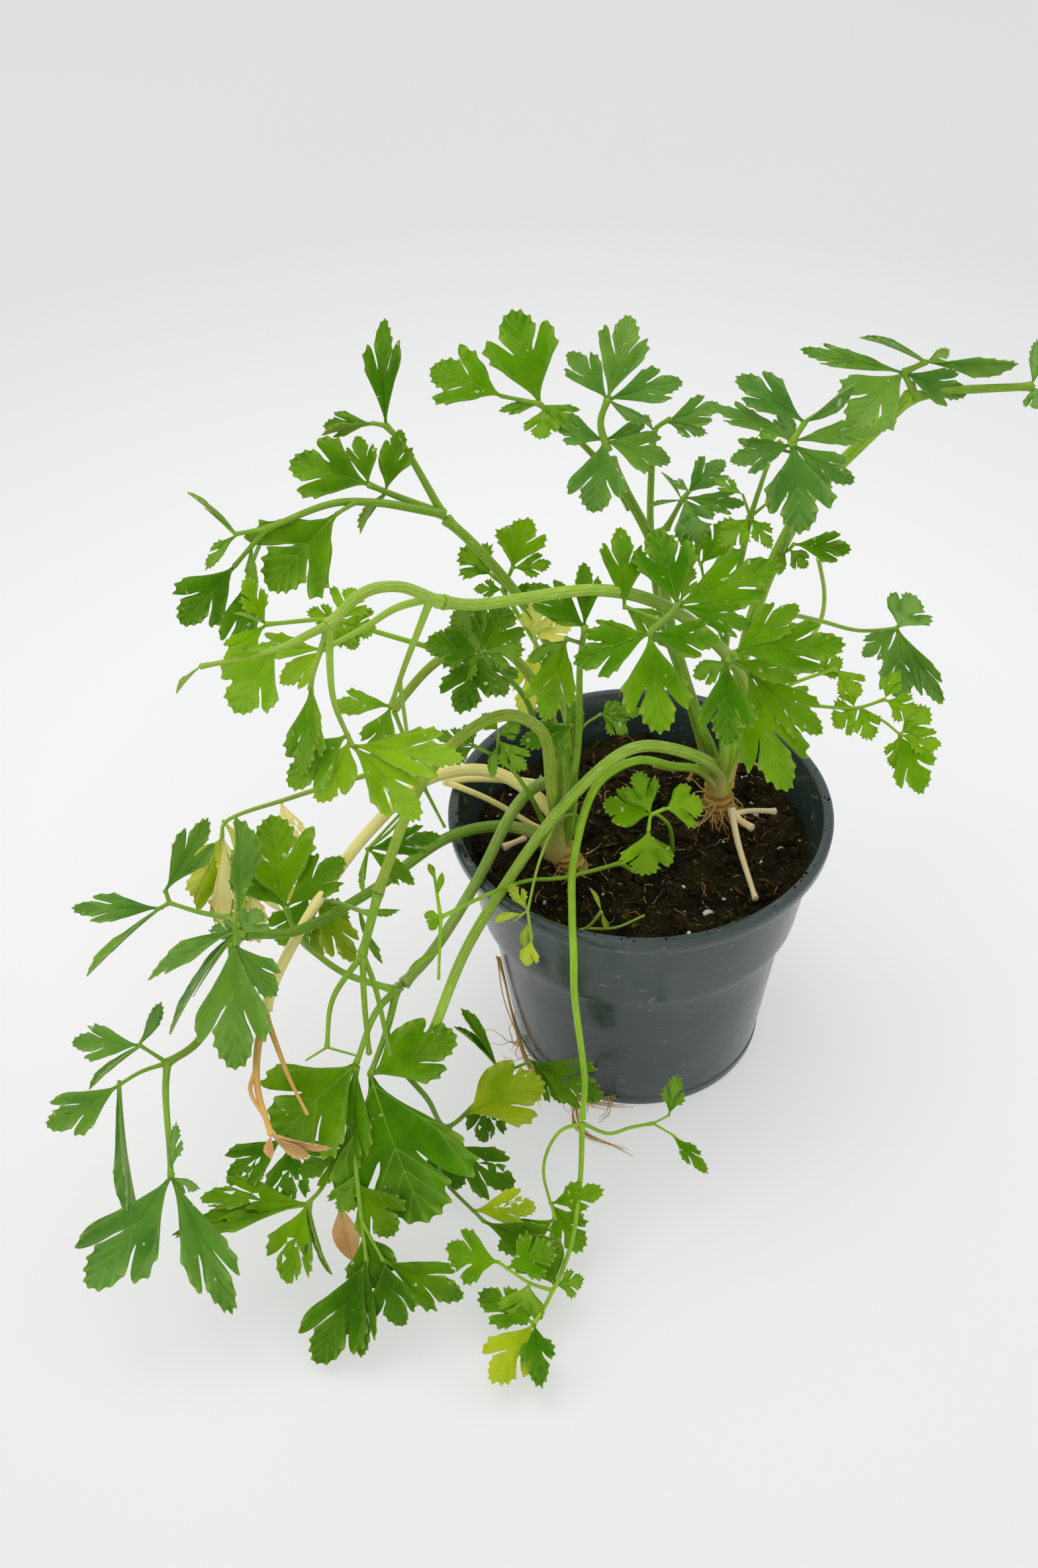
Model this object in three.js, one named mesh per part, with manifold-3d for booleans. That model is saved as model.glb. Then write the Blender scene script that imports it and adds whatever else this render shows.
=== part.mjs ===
// Potted flat-leaf parsley plant in a round nursery pot.
// Millimetres, +Z up, origin at the centre of the pot's foot.
// The plant leans over the rim towards -X and -Y, and one petiole trails to the floor in front.
import * as THREE from "three";
import { mergeVertices } from "three/addons/utils/BufferGeometryUtils.js";
import Module from "manifold-3d";

const wasm = await Module();
wasm.setup();

// ---- driving dimensions ----
const POT_HEIGHT = 94;
const FOOT_RADIUS = 40.5;
const BODY_RADIUS = 48;
const LEDGE_HEIGHT = 58;
const LEDGE_RADIUS = 51;
const COLLAR_RADIUS = 56;
const RIM_RADIUS = 60;
const LIP_HEIGHT = 5;
const LIP_WIDTH = 3;
const WALL = 1.4;
const FLOOR_THICKNESS = 2;
const DRAIN_HOLES = 6;
const DRAIN_HOLE_RADIUS = 4.5;
const DRAIN_RING_RADIUS = 28;
const SOIL_LEVEL = 82;
const ROUND_SEGMENTS = 36;
const LEAF_THICKNESS = 0.8;
const GAP = 0.35;

// Leaves turn their upper face to this side.
const LIGHT = new THREE.Vector3(0, -0.66, 0.75).normalize();

const COLOURS = {
  pot: 0x46525a,
  soil: 0x2e2119,
  crown: 0xa0783c,
  root: 0xb06a30,
  straw: 0xd2b08a,
  mid: 0x3f8a1c,
  dark: 0x2f7420,
  green: 0x6b9a35,
  green2: 0x4a9026,
  blue: 0x53904a,
  light: 0x8ab83f,
  young: 0x74b02a,
  yellow: 0xb9bb3f,
  yellow2: 0x9fae3a,
  olive: 0x74842f,
  grey: 0x8aa070,
  cream: 0xd9cf90,
  tan: 0xc08c4a,
};

// Half outlines of a leaflet, from its stalk to its tip: [along the length, across the width].
const OUTLINES = {
  tri: [[0.28, 0.36], [0.56, 0.5], [0.52, 0.17], [0.86, 0.22]],
  smallTri: [[0.42, 0.46], [0.86, 0.26]],
  bi: [[0.36, 0.44], [0.86, 0.36]],
  fan: [[0.38, 0.44], [0.84, 0.4]],
  slim: [[0.45, 0.5]],
  tiny: [[0.62, 0.5]],
};
const SMALL_LEAFLET = 30;
const TINY_LEAFLET = 15;

const group = new THREE.Group();
group.name = "potted_parsley";
const placed = [];

// ---- solids ----
function solidOf(geometry) {
  const g = geometry.clone();
  g.deleteAttribute("normal");
  g.deleteAttribute("uv");
  const merged = mergeVertices(g, 1e-4);
  return new wasm.Manifold(
    new wasm.Mesh({
      numProp: 3,
      vertProperties: merged.attributes.position.array,
      triVerts: new Uint32Array(merged.index.array),
    }),
  );
}

function geometryOf(solid) {
  const mesh = solid.getMesh();
  const positions = new Float32Array(mesh.triVerts.length * 3);
  mesh.triVerts.forEach((v, i) => {
    for (let k = 0; k < 3; k += 1) {
      positions[i * 3 + k] = mesh.vertProperties[v * mesh.numProp + k];
    }
  });
  const geometry = new THREE.BufferGeometry();
  geometry.setAttribute("position", new THREE.BufferAttribute(positions, 3));
  geometry.computeVertexNormals();
  return geometry;
}

function union(solids) {
  return solids.reduce((sum, solid) => sum.add(solid));
}

function largest(solid) {
  const pieces = solid.decompose();
  return pieces.reduce((best, piece) => (piece.volume() > best.volume() ? piece : best));
}

// Adds a node: its own solid less every neighbour's swollen solid, so that touching pieces keep a gap.
function place(name, tone, solid, swollen, material = {}) {
  let body = solid;
  for (const other of placed) {
    body = body.subtract(other);
  }
  body = largest(largest(body).asOriginal().simplify(0.17));
  placed.push(swollen);
  const mesh = new THREE.Mesh(
    geometryOf(body),
    new THREE.MeshStandardMaterial({
      color: COLOURS[tone],
      roughness: material.roughness ?? 0.5,
      metalness: 0,
    }),
  );
  mesh.name = name;
  group.add(mesh);
  return body;
}

// ---- round stalks ----
const stepsOf = (curve, count) => {
  return Math.max(Math.min(count - 1, 8), Math.min(Math.round(curve.getLength() / 16), 14));
};

// Points close together along a stalk's faceted centre line.
function centreLine(points) {
  const curve = new THREE.CatmullRomCurve3(points, false, "centripetal");
  const rings = curve.getSpacedPoints(stepsOf(curve, points.length));
  const line = [rings[0]];
  for (let i = 1; i < rings.length; i += 1) {
    for (let k = 1; k <= 6; k += 1) line.push(rings[i - 1].clone().lerp(rings[i], k / 6));
  }
  return line;
}

function nearestTo(place, line) {
  return line.reduce((a, b) => (b.distanceTo(place) < a.distanceTo(place) ? b : a)).clone();
}

function pointAt(fraction, line) {
  return line[Math.round(fraction * (line.length - 1))];
}

function stalkGeometry(route, r0, r1, swell) {
  const points = route.map((p) => p.clone());
  if (swell > 0) {
    const first = points[0].clone().sub(points[1]).setLength(swell);
    const last = points.at(-1).clone().sub(points.at(-2)).setLength(swell);
    points[0].add(first);
    points[points.length - 1].add(last);
  }
  const curve = new THREE.CatmullRomCurve3(points, false, "centripetal");
  const steps = stepsOf(curve, points.length);
  const section = new THREE.Shape();
  const sides = r0 > 1.45 ? 6 : r0 > 0.75 ? 4 : 3;
  for (let i = 0; i < sides; i += 1) {
    const a = (i / sides) * Math.PI * 2;
    const x = Math.cos(a);
    const y = Math.sin(a);
    if (i === 0) section.moveTo(x, y);
    else section.lineTo(x, y);
  }
  section.closePath();
  const geometry = new THREE.ExtrudeGeometry(section, {
    steps,
    extrudePath: curve,
    bevelEnabled: false,
  });
  const centres = curve.getSpacedPoints(steps);
  const position = geometry.attributes.position;
  const v = new THREE.Vector3();
  for (let i = 0; i < position.count; i += 1) {
    v.fromBufferAttribute(position, i);
    let nearest = 0;
    for (let k = 1; k <= steps; k += 1) {
      if (v.distanceTo(centres[k]) < v.distanceTo(centres[nearest])) nearest = k;
    }
    const radius = r0 + ((r1 - r0) * nearest) / steps + swell;
    v.sub(centres[nearest]).multiplyScalar(radius).add(centres[nearest]);
    position.setXYZ(i, v.x, v.y, v.z);
  }
  return geometry;
}

// ---- leaflets ----
// A leaflet: its place on the stalk from 0 to 1, bearing from +X, lift, length, width, outline, turn.
function leafletGeometry(row, line, swell) {
  const [at, bearing, lift, length, width, kind, turn = 0] = row;
  const { x, y, z } = pointAt(at, line);
  const small = kind === "tri" && length < SMALL_LEAFLET ? "smallTri" : kind;
  const name = kind !== "slim" && length < TINY_LEAFLET ? "tiny" : small;
  const half = OUTLINES[name];
  const L = length + swell;
  const W = width + swell * 2;
  const foot = Math.max(0.5, width * 0.03) + swell;
  const right = [[-1.2 - swell, foot], ...half.map(([u, w]) => [u * L, w * W])];
  const left = right.map(([u, w]) => [u, -w]).reverse();
  const outline = [...right, [L, 0], ...left];
  const shape = new THREE.Shape(outline.map(([u, w]) => new THREE.Vector2(u, w)));
  const depth = LEAF_THICKNESS + swell * 2;
  const geometry = new THREE.ExtrudeGeometry(shape, { depth, bevelEnabled: false });
  const position = geometry.attributes.position;
  for (let i = 0; i < position.count; i += 1) {
    const u = position.getX(i) / length;
    const w = position.getY(i) / width;
    const sag = -0.1 * length * Math.max(u, 0) ** 2;
    const cup = 0.25 * width * w * w;
    position.setZ(i, position.getZ(i) - depth / 2 + sag + cup);
  }
  const a = THREE.MathUtils.degToRad(bearing);
  const e = THREE.MathUtils.degToRad(lift);
  const along = new THREE.Vector3(
    Math.cos(e) * Math.cos(a),
    Math.cos(e) * Math.sin(a),
    Math.sin(e),
  );
  const face = LIGHT.clone().addScaledVector(along, -LIGHT.dot(along)).normalize();
  face.applyAxisAngle(along, THREE.MathUtils.degToRad(turn));
  const across = face.clone().cross(along);
  geometry.applyMatrix4(new THREE.Matrix4().makeBasis(along, across, face).setPosition(x, y, z));
  return geometry;
}

function petiole(name, tone, r0, r1, points) {
  const route = points.map((p) => new THREE.Vector3(...p));
  const solid = solidOf(stalkGeometry(route, r0, r1, 0));
  const swollen = solidOf(stalkGeometry(route, r0, r1, GAP));
  place(name, tone, solid, swollen);
}

// A compound blade. Each stalk is [radius at its foot, radius at its tip, route, leaflets], and every
// stalk after the first one starts on an earlier one.
function blade(name, tone, stalks) {
  const lines = [];
  const grown = stalks.map(([r0, r1, points, leaflets]) => {
    const route = points.map((p) => new THREE.Vector3(...p));
    if (lines.length > 0) route[0].copy(nearestTo(route[0], lines));
    const line = centreLine(route);
    lines.push(...line);
    return { r0, r1, route, line, leaflets };
  });
  const parts = (swell) =>
    grown.flatMap(({ r0, r1, route, line, leaflets }) => [
      solidOf(stalkGeometry(route, r0, r1, swell)),
      ...leaflets.map((row) => solidOf(leafletGeometry(row, line, swell))),
    ]);
  place(name, tone, union(parts(0)), union(parts(GAP)));
}

// ---- pot ----
function potProfile(swell) {
  const s = swell;
  const inner = COLLAR_RADIUS - WALL;
  return [
    [0, -s],
    [FOOT_RADIUS + s, -s],
    [BODY_RADIUS + s, LEDGE_HEIGHT - 3],
    [LEDGE_RADIUS + s, LEDGE_HEIGHT - s],
    [COLLAR_RADIUS + s, POT_HEIGHT - LIP_HEIGHT - s],
    [RIM_RADIUS - 0.6 + s, POT_HEIGHT - LIP_HEIGHT - s],
    [RIM_RADIUS + s, POT_HEIGHT - 1],
    [RIM_RADIUS - 0.8 + s, POT_HEIGHT + s],
    [RIM_RADIUS - LIP_WIDTH - s, POT_HEIGHT + s],
    [inner - s, POT_HEIGHT - LIP_HEIGHT],
    [LEDGE_RADIUS - WALL - s, LEDGE_HEIGHT],
    [BODY_RADIUS - WALL - s, LEDGE_HEIGHT - 4],
    [FOOT_RADIUS - WALL - s, FLOOR_THICKNESS + s],
    [0, FLOOR_THICKNESS + s],
  ].map(([r, h]) => new THREE.Vector2(Math.max(r, 0), h));
}

function lathe(profile) {
  const geometry = new THREE.LatheGeometry(profile, ROUND_SEGMENTS);
  geometry.rotateX(Math.PI / 2);
  return geometry;
}

const pot = solidOf(lathe(potProfile(0)));
const drains = [];
for (let i = 0; i < DRAIN_HOLES; i += 1) {
  const a = (i / DRAIN_HOLES) * Math.PI * 2;
  const drain = new THREE.CylinderGeometry(DRAIN_HOLE_RADIUS, DRAIN_HOLE_RADIUS, 12, 10);
  drain.rotateX(Math.PI / 2);
  drain.translate(DRAIN_RING_RADIUS * Math.cos(a), DRAIN_RING_RADIUS * Math.sin(a), 0);
  drains.push(solidOf(drain));
}
place("pot", "pot", pot.subtract(union(drains)), solidOf(lathe(potProfile(GAP))), { roughness: 0.35 });

// ---- root crowns: ringed collars that the petioles rise from ----
function crown(name, foot, top, radii) {
  const parts = (swell) => {
    const n = radii.length - 1;
    const profile = radii.map((r, i) => new THREE.Vector2(r + swell, i / n));
    const length = new THREE.Vector3(...top).distanceTo(new THREE.Vector3(...foot));
    const closed = [
      new THREE.Vector2(0, -swell),
      ...profile.map((p) => new THREE.Vector2(p.x, p.y * length + (p.y * 2 - 1) * swell)),
      new THREE.Vector2(0, length + swell),
    ];
    const geometry = new THREE.LatheGeometry(closed, 12);
    const axis = new THREE.Vector3(...top).sub(new THREE.Vector3(...foot)).normalize();
    const turn = new THREE.Quaternion().setFromUnitVectors(new THREE.Vector3(0, 1, 0), axis);
    geometry.applyQuaternion(turn);
    geometry.translate(...foot);
    return solidOf(geometry);
  };
  place(name, "crown", parts(0), parts(GAP), { roughness: 0.7 });
}
crown("root_crown_right", [26, 8, 77], [25, 11, 98], [4.2, 5.4, 4.6, 4.9, 4.0, 4.2, 3.2]);
crown("root_crown_left", [-19, -15, 77], [-27, -11, 91], [3.6, 4.8, 4.4, 4.6, 3.4]);

// ---- soil ----
function soilSolid(swell) {
  const rings = [0, 9, 18, 27, 36, 45, 51];
  const side = [
    [FOOT_RADIUS - WALL - 0.8, FLOOR_THICKNESS + 0.4],
    [BODY_RADIUS - WALL - 0.8, LEDGE_HEIGHT - 4.5],
    [LEDGE_RADIUS - WALL - 0.8, LEDGE_HEIGHT + 0.5],
  ];
  const profile = [
    [0, FLOOR_THICKNESS + 0.4],
    ...side,
    ...rings.slice().reverse().map((r) => [r, SOIL_LEVEL]),
  ].map(([r, h]) => new THREE.Vector2(r, h));
  const geometry = lathe(profile);
  const position = geometry.attributes.position;
  for (let i = 0; i < position.count; i += 1) {
    if (position.getZ(i) > SOIL_LEVEL - 1) {
      const x = position.getX(i);
      const y = position.getY(i);
      const mound = 2.2 * Math.exp(-((x - 24) ** 2 + (y - 8) ** 2) / 160);
      const left = 2.0 * Math.exp(-((x + 20) ** 2 + (y + 14) ** 2) / 140);
      const lumps = 0.9 * Math.sin(x * 0.21 + 1) * Math.cos(y * 0.24) + 0.6 * Math.sin(x * 0.5 + y * 0.4);
      const edge = -1.5 * (Math.hypot(x, y) / 51) ** 4;
      position.setZ(i, SOIL_LEVEL - 1 + mound + left + lumps + edge + swell);
    }
  }
  return solidOf(geometry);
}
place("soil", "soil", soilSolid(0), soilSolid(GAP), { roughness: 0.95 });

// The floor under the pot: whatever trails on it stays just above it.
const floorSlab = new THREE.BoxGeometry(900, 900, 60);
floorSlab.translate(0, 0, -30 + GAP);
placed.push(solidOf(floorSlab));

// ---- the plant ----
petiole("petiole_upper_left", "green", 1.9, 1.5, [
  [-25, -10, 94], [-23, 3, 108], [-22, 10, 133], [-34, 18, 158], [-49, 24, 177], [-57, 26, 185],
]);
blade("blade_upper_left", "mid", [
  [1.3, 0.8, [[-58, 26, 187], [-69, 30, 209], [-73, 31, 214]], [
    [1, 95, 65, 30, 11, "tri"],
  ]],
  [0.7, 0.5, [[-73, 31, 214], [-77, 31, 215]], [
    [1, 180, 0, 14, 8, "tri"], [1, 190, -5, 15, 6, "slim", 50],
  ]],
  [1.3, 0.8, [[-58, 26, 187], [-70, 20, 197], [-78, 16, 204]], [
    [1, 165, 15, 24, 20, "tri"], [1, 105, 45, 15, 9, "tri", 15], [0.8, 220, -35, 14, 9, "slim", 50],
    [0.8, 65, 45, 19, 10, "fan", 25],
  ]],
  [1.4, 0.9, [[-58, 26, 187], [-77, 10, 202], [-88, 2, 207], [-105, -8, 206]], []],
  [0.8, 0.5, [[-105, -8, 206], [-113, -10, 206]], [
    [1, 145, 30, 18, 6, "slim", 60], [1, 215, -30, 13, 7, "bi", 25],
  ]],
  [0.9, 0.6, [[-105, -8, 206], [-115, -8, 194]], [
    [0.5, 280, -45, 11, 6, "slim", 30], [1, 220, -30, 22, 17, "tri"],
  ]],
  [0.8, 0.5, [[-105, -8, 206], [-110, 0, 192], [-113, 4, 183]], [
    [1, 255, -45, 26, 14, "tri", 35],
  ]],
  [0.8, 0.5, [[-82, 8, 203], [-86, -3, 207]], [
    [1, 215, -30, 28, 30, "tri"],
  ]],
]);
petiole("petiole_long_arch", "light", 2.1, 1.6, [
  [29, 12, 101], [31, 5, 120], [30, -5, 145], [15, -15, 173], [0, -22, 189], [-16, -29, 198],
  [-48, -44, 205], [-56, -48, 209],
]);
blade("blade_long_arch", "light", [
  [1.6, 1.4, [[-57, -49, 210], [-67, -56, 220], [-75, -61, 222], [-84, -66, 216]], []],
  [1.2, 0.6, [[-84, -66, 216], [-99, -70, 211], [-116, -74, 210]], [
    [1, 215, -25, 9, 5, "slim", 50], [0.45, 225, -30, 19, 18, "fan"],
  ]],
  [0.9, 0.6, [[-84, -66, 216], [-89, -68, 202], [-90, -69, 198]], [
    [1, 265, -40, 22, 11, "tri", 20], [0.9, 275, -40, 17, 8, "bi", 35],
  ]],
  [1.1, 0.6, [[-84, -66, 216], [-84, -72, 197], [-80, -76, 185]], [
    [1, 355, -5, 29, 14, "tri"], [0.9, 210, -20, 20, 15, "tri"], [0.95, 240, -35, 18, 12, "fan"],
    [1, 325, -30, 26, 14, "tri"],
  ]],
  [1.1, 0.7, [[-58, -50, 212], [-68, -50, 209], [-77, -49, 202], [-88, -47, 194]], [
    [1, 180, 5, 20, 9, "tri", 15], [1, 210, -25, 15, 10, "bi", 10],
  ]],
  [1.1, 0.6, [[-58, -50, 212], [-67, -52, 191], [-71, -54, 180]], [
    [1, 175, 5, 16, 10, "bi", 25], [1, 240, -40, 15, 11, "tri", 10],
  ]],
  [0.6, 0.5, [[-68, -53, 187], [-67, -56, 170]], []],
]);
blade("blade_left_back_small", "young", [
  [0.8, 0.6, [[-61, -20, 173], [-78, -24, 183], [-86, -26, 188], [-105, -30, 190]], [
    [0.58, 55, 40, 10, 13, "tri"], [0.58, 170, 10, 10, 7, "tri"], [0.58, 225, -35, 8, 9, "fan"],
    [0.58, 350, -15, 10, 11, "tri"], [0.58, 300, -40, 9, 8, "fan"], [1, 125, 40, 15, 8, "tri", 10],
    [1, 210, -25, 16, 10, "tri", 25], [1, 160, 20, 9, 5, "slim", 40],
  ]],
]);
petiole("petiole_left_mid", "olive", 1.7, 1.3, [
  [-27, -14, 99], [-26, -10, 116], [-27, -9, 134], [-34, -10, 155], [-43, -16, 170], [-51, -20, 174],
  [-61, -24, 170], [-72, -30, 160],
]);
petiole("petiole_top_centre", "green", 1.9, 1.4, [
  [22, 18, 98], [20, 18, 106], [11, 19, 140], [4, 24, 174], [-5, 26, 194], [-9, 26, 204],
]);
blade("blade_top_centre", "blue", [
  [1.2, 0.9, [[-10, 26, 207], [-12, 28, 215], [-10, 29, 222]], [
    [0.15, 170, 15, 15, 9, "tri"], [0.15, 255, -45, 21, 18, "tri"], [0.15, 350, -10, 20, 13, "tri"],
    [0.15, 15, 15, 15, 5, "slim", 20], [1, 135, 35, 18, 11, "tri"], [1, 65, 45, 26, 15, "tri"],
    [1, 10, 10, 22, 12, "tri"], [1, 335, -25, 14, 5, "slim", 30],
  ]],
]);
blade("blade_top_left", "green2", [
  [1.2, 0.7, [[-3, 28, 186], [-12, 31, 200], [-29, 34, 218]], [
    [1, 115, 45, 29, 22, "tri"], [1, 345, -20, 14, 8, "tri"], [1, 185, 0, 12, 5, "bi", 10],
    [0.95, 260, -45, 9, 11, "fan"],
  ]],
  [0.8, 0.5, [[-29, 34, 218], [-40, 34, 221]], [
    [1, 160, 20, 22, 20, "tri"],
  ]],
]);
blade("blade_vertical", "blue", [
  [1.4, 1, [[25, 24, 95], [20, 28, 106], [8, 35, 140], [4, 39, 170], [4, 41, 202]], []],
  [0.9, 0.6, [[4, 41, 202], [5, 41, 205], [9, 41, 208]], [
    [0.85, 10, 10, 17, 10, "tri"], [0.85, 350, -15, 13, 6, "bi"], [0.25, 140, 35, 8, 5, "slim", 20],
  ]],
]);
blade("blade_right_of_top", "blue", [
  [1, 0.6, [[7, 20, 184], [11, 18, 195]], [
    [1, 185, -5, 10, 3, "slim", 30], [0.95, 130, 40, 10, 3, "slim", 40],
  ]],
  [0.6, 0.5, [[11, 18, 195], [13, 18, 198]], [
    [0.6, 35, 30, 15, 11, "tri"], [0.4, 300, -45, 14, 14, "tri"], [0.4, 355, -10, 18, 7, "tri", 10],
    [1, 155, 25, 6, 4, "tri", 20],
  ]],
  [0.7, 0.7, [[7, 20, 184], [1.5, 24.7, 179]], []],
]);
blade("petiole_right_high", "olive", [
  [2.2, 1.7, [[26, 8, 99], [27, 4, 109], [29, -1, 154], [34, -6, 186], [43, -11, 214], [57, -16, 237],
    [65, -19, 249]], []],
  [0.6, 0.4, [[35, -7, 193], [38, -10, 196], [39, -14, 201]], [
    [1, 355, -5, 16, 9, "tri"], [0.5, 315, -35, 7, 6, "fan"], [0.3, 250, -45, 7, 4, "bi"],
  ]],
]);
blade("blade_right_high", "blue", [
  [1.3, 1, [[66, -19, 249], [74, -20, 251], [95, -22, 253]], [
    [1, 75, 40, 13, 6, "bi", 10], [1, 285, -40, 6, 7, "fan", 10],
  ]],
  [0.9, 0.7, [[65, -18, 250], [63, -17, 255]], [
    [1, 170, 10, 27, 7, "tri", 15], [1, 215, -25, 20, 19, "tri"], [1, 340, -15, 17, 10, "tri"],
  ]],
  [0.9, 0.6, [[63, -17, 255], [68, -19, 259]], [
    [1, 155, 20, 18, 4, "slim", 35], [1, 355, -5, 24, 6, "slim", 25], [1, 20, 15, 7, 5, "bi", 20],
  ]],
  [0.9, 0.9, [[66, -19, 249], [65, -17, 252]], []],
]);
blade("blade_right_near", "blue", [
  [1.3, 1, [[37, -20, 216], [36, -30, 231], [32, -42, 251]], [
    [0.95, 275, -40, 23, 18, "tri"], [0.95, 190, -10, 16, 10, "tri"], [0.95, 330, -25, 18, 9, "tri"],
    [1, 155, 20, 22, 8, "tri", 15], [0.95, 105, 40, 9, 8, "bi", 10], [1, 10, 5, 23, 7, "tri", 15],
    [0.85, 165, 10, 13, 3, "slim", 30],
  ]],
  [0.8, 0.6, [[32, -42, 251], [35, -40, 255]], [
    [1, 150, 25, 21, 11, "tri"], [1, 25, 20, 16, 6, "slim", 40],
  ]],
  [1.3, 1.2, [[37, -20, 216], [37, -15, 205], [36.3, -7.4, 193]], []],
]);
blade("blade_right_small", "green2", [
  [1.2, 0.9, [[27, 20, 101], [26, 20, 119], [26, 14, 154], [29, 4, 198]], [
    [1, 315, -35, 11, 7, "tri"], [1, 215, -30, 12, 10, "fan"],
  ]],
  [0.8, 0.6, [[29, 4, 198], [32, -2, 219]], [
    [1, 85, 45, 11, 9, "tri"],
  ]],
  [0.5, 0.4, [[29, 4, 198], [33, 4, 202]], [
    [1, 35, 30, 10, 6, "bi"],
  ]],
  [0.5, 0.4, [[29, 4, 198], [27, 8, 203]], [
    [1, 160, 20, 9, 5, "tri", 10],
  ]],
  [0.6, 0.4, [[26, 16, 144], [20, 12, 161], [16, 6, 181]], [
    [1, 40, 35, 16, 12, "tri", 10], [1, 130, 40, 11, 8, "bi", 10],
  ]],
]);
petiole("stem_back_right", "light", 0.9, 0.7, [
  [29, 24, 97], [42, 44, 102], [56, 60, 107], [63, 68, 113], [64, 70, 122], [61, 70, 137],
]);
blade("blade_back_right", "blue", [
  [0.9, 0.6, [[48, 58, 125], [65, 75, 108], [79, 80, 100], [92, 82, 99]], [
    [1, 40, 40, 13, 18, "fan"], [1, 205, -30, 15, 10, "tri"], [1, 280, -55, 25, 18, "tri"],
    [1, 315, -45, 31, 10, "tri", 20],
  ]],
  [0.9, 0.9, [[48, 58, 125], [42, 47, 121], [33, 31, 106], [28, 22, 97]], []],
]);
blade("blade_right_feathery", "young", [
  [0.8, 0.5, [[28, 6, 117], [42, 2, 138], [57, 2, 145]], [
    [0.6, 145, 35, 8, 9, "tri"], [0.6, 340, -20, 10, 9, "tri"], [0.75, 335, -25, 8, 8, "tri"],
    [0.9, 20, 20, 10, 8, "tri"], [1, 325, -35, 11, 9, "tri"],
  ]],
  [0.6, 0.5, [[45, 8, 128], [54, 8, 126], [66, 8, 125], [74, 8, 128]], [
    [0.8, 200, -20, 10, 12, "tri"], [0.8, 300, -45, 11, 10, "tri"], [0.75, 110, 50, 10, 8, "bi"],
    [1, 55, 45, 10, 7, "bi"], [1, 345, -20, 12, 10, "tri"],
  ]],
  [0.5, 0.4, [[67, 8, 125], [75, 8, 119], [80, 8, 114]], [
    [1, 25, 25, 13, 12, "tri"], [1, 350, -15, 14, 9, "tri"], [1, 250, -50, 11, 8, "bi"],
    [1, 300, -45, 20, 16, "tri"],
  ]],
]);
blade("blade_curly_light", "young", [
  [1, 0.7, [[-22, -4, 89], [-20, 5, 100], [-24, 18, 122], [-30, 22, 138], [-41, 25, 160]], [
    [1, 175, 5, 9, 6, "tri"],
  ]],
  [0.7, 0.5, [[-41, 25, 160], [-38, 25, 168]], [
    [1, 60, 45, 16, 16, "tri"], [1, 5, 0, 12, 8, "bi"], [1, 95, 50, 13, 7, "bi", 10],
    [0.1, 355, -5, 16, 6, "tri", 10],
  ]],
  [0.6, 0.5, [[-41, 25, 162], [-44, 24, 166]], [
    [0.9, 150, 30, 13, 14, "fan"],
  ]],
]);
blade("blade_curly_dark", "dark", [
  [1, 0.6, [[-32, -14, 138], [-36, -24, 159], [-47, -34, 182]], [
    [1, 175, 10, 16, 14, "fan", 10], [1, 125, 40, 14, 15, "fan", -10], [1, 50, 35, 15, 16, "fan", 10],
    [1, 0, 0, 12, 13, "fan", -15], [1, 245, -40, 18, 16, "tri"], [1, 305, -40, 14, 13, "tri"],
    [1, 210, -25, 12, 9, "bi", 10],
  ]],
  [0.9, 0.9, [[-32, -14, 138], [-29, -10, 138]], []],
]);
blade("blade_yellowing", "yellow", [
  [0.8, 0.5, [[-26, 4, 124], [-29, 6, 137], [-32, 8, 154]], [
    [1, 80, 50, 12, 11, "fan"], [1, 20, 15, 13, 10, "fan"], [0.95, 255, -45, 23, 12, "tri"],
  ]],
  [0.7, 0.7, [[-26, 4, 124], [-22.5, 6.5, 122]], []],
]);
blade("blade_inner_left", "mid", [
  [1.3, 0.8, [[-23, -14, 101], [-20, -16, 134], [-20, -30, 174], [-19, -36, 191]], [
    [1, 145, 30, 19, 12, "tri"], [1, 85, 45, 18, 9, "bi", 10], [1, 165, 15, 11, 6, "bi"],
  ]],
  [0.6, 0.5, [[-20, -34, 183], [-24, -37, 188]], [
    [0.9, 200, -15, 13, 7, "bi"], [0.95, 250, -40, 23, 14, "tri"],
  ]],
]);
petiole("petiole_centre", "green", 1.7, 1.2, [
  [24.5, 10, 99], [22, 9, 107], [18, 0, 125], [12, -14, 152], [7, -26, 174], [2, -36, 186],
]);
blade("blade_centre_near", "green2", [
  [1.1, 0.7, [[0, -40, 190], [-2, -43, 194], [2, -38, 194], [7, -30, 194]], [
    [0.2, 195, -10, 22, 14, "tri"], [0.25, 180, 0, 18, 8, "tri", 15], [0.2, 275, -45, 27, 19, "tri"],
    [0.2, 355, -10, 19, 11, "tri"], [0.9, 105, 45, 22, 18, "tri"], [0.9, 20, 15, 31, 17, "tri"],
    [0.9, 350, -10, 22, 10, "tri"], [1, 60, 40, 11, 6, "bi", 10],
  ]],
  [0.7, 0.5, [[2, -38, 194], [-8, -30, 193]], [
    [1, 90, 45, 22, 13, "tri"], [1, 335, -25, 12, 8, "tri", 20],
  ]],
  [1.1, 1.1, [[0, -40, 190], [2, -36.5, 187]], []],
]);
petiole("petiole_right_near", "light", 1.6, 1.2, [
  [25.5, 8, 99], [25, -2, 114], [24, -8, 131], [21, -18, 152], [20, -30, 171],
]);
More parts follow.
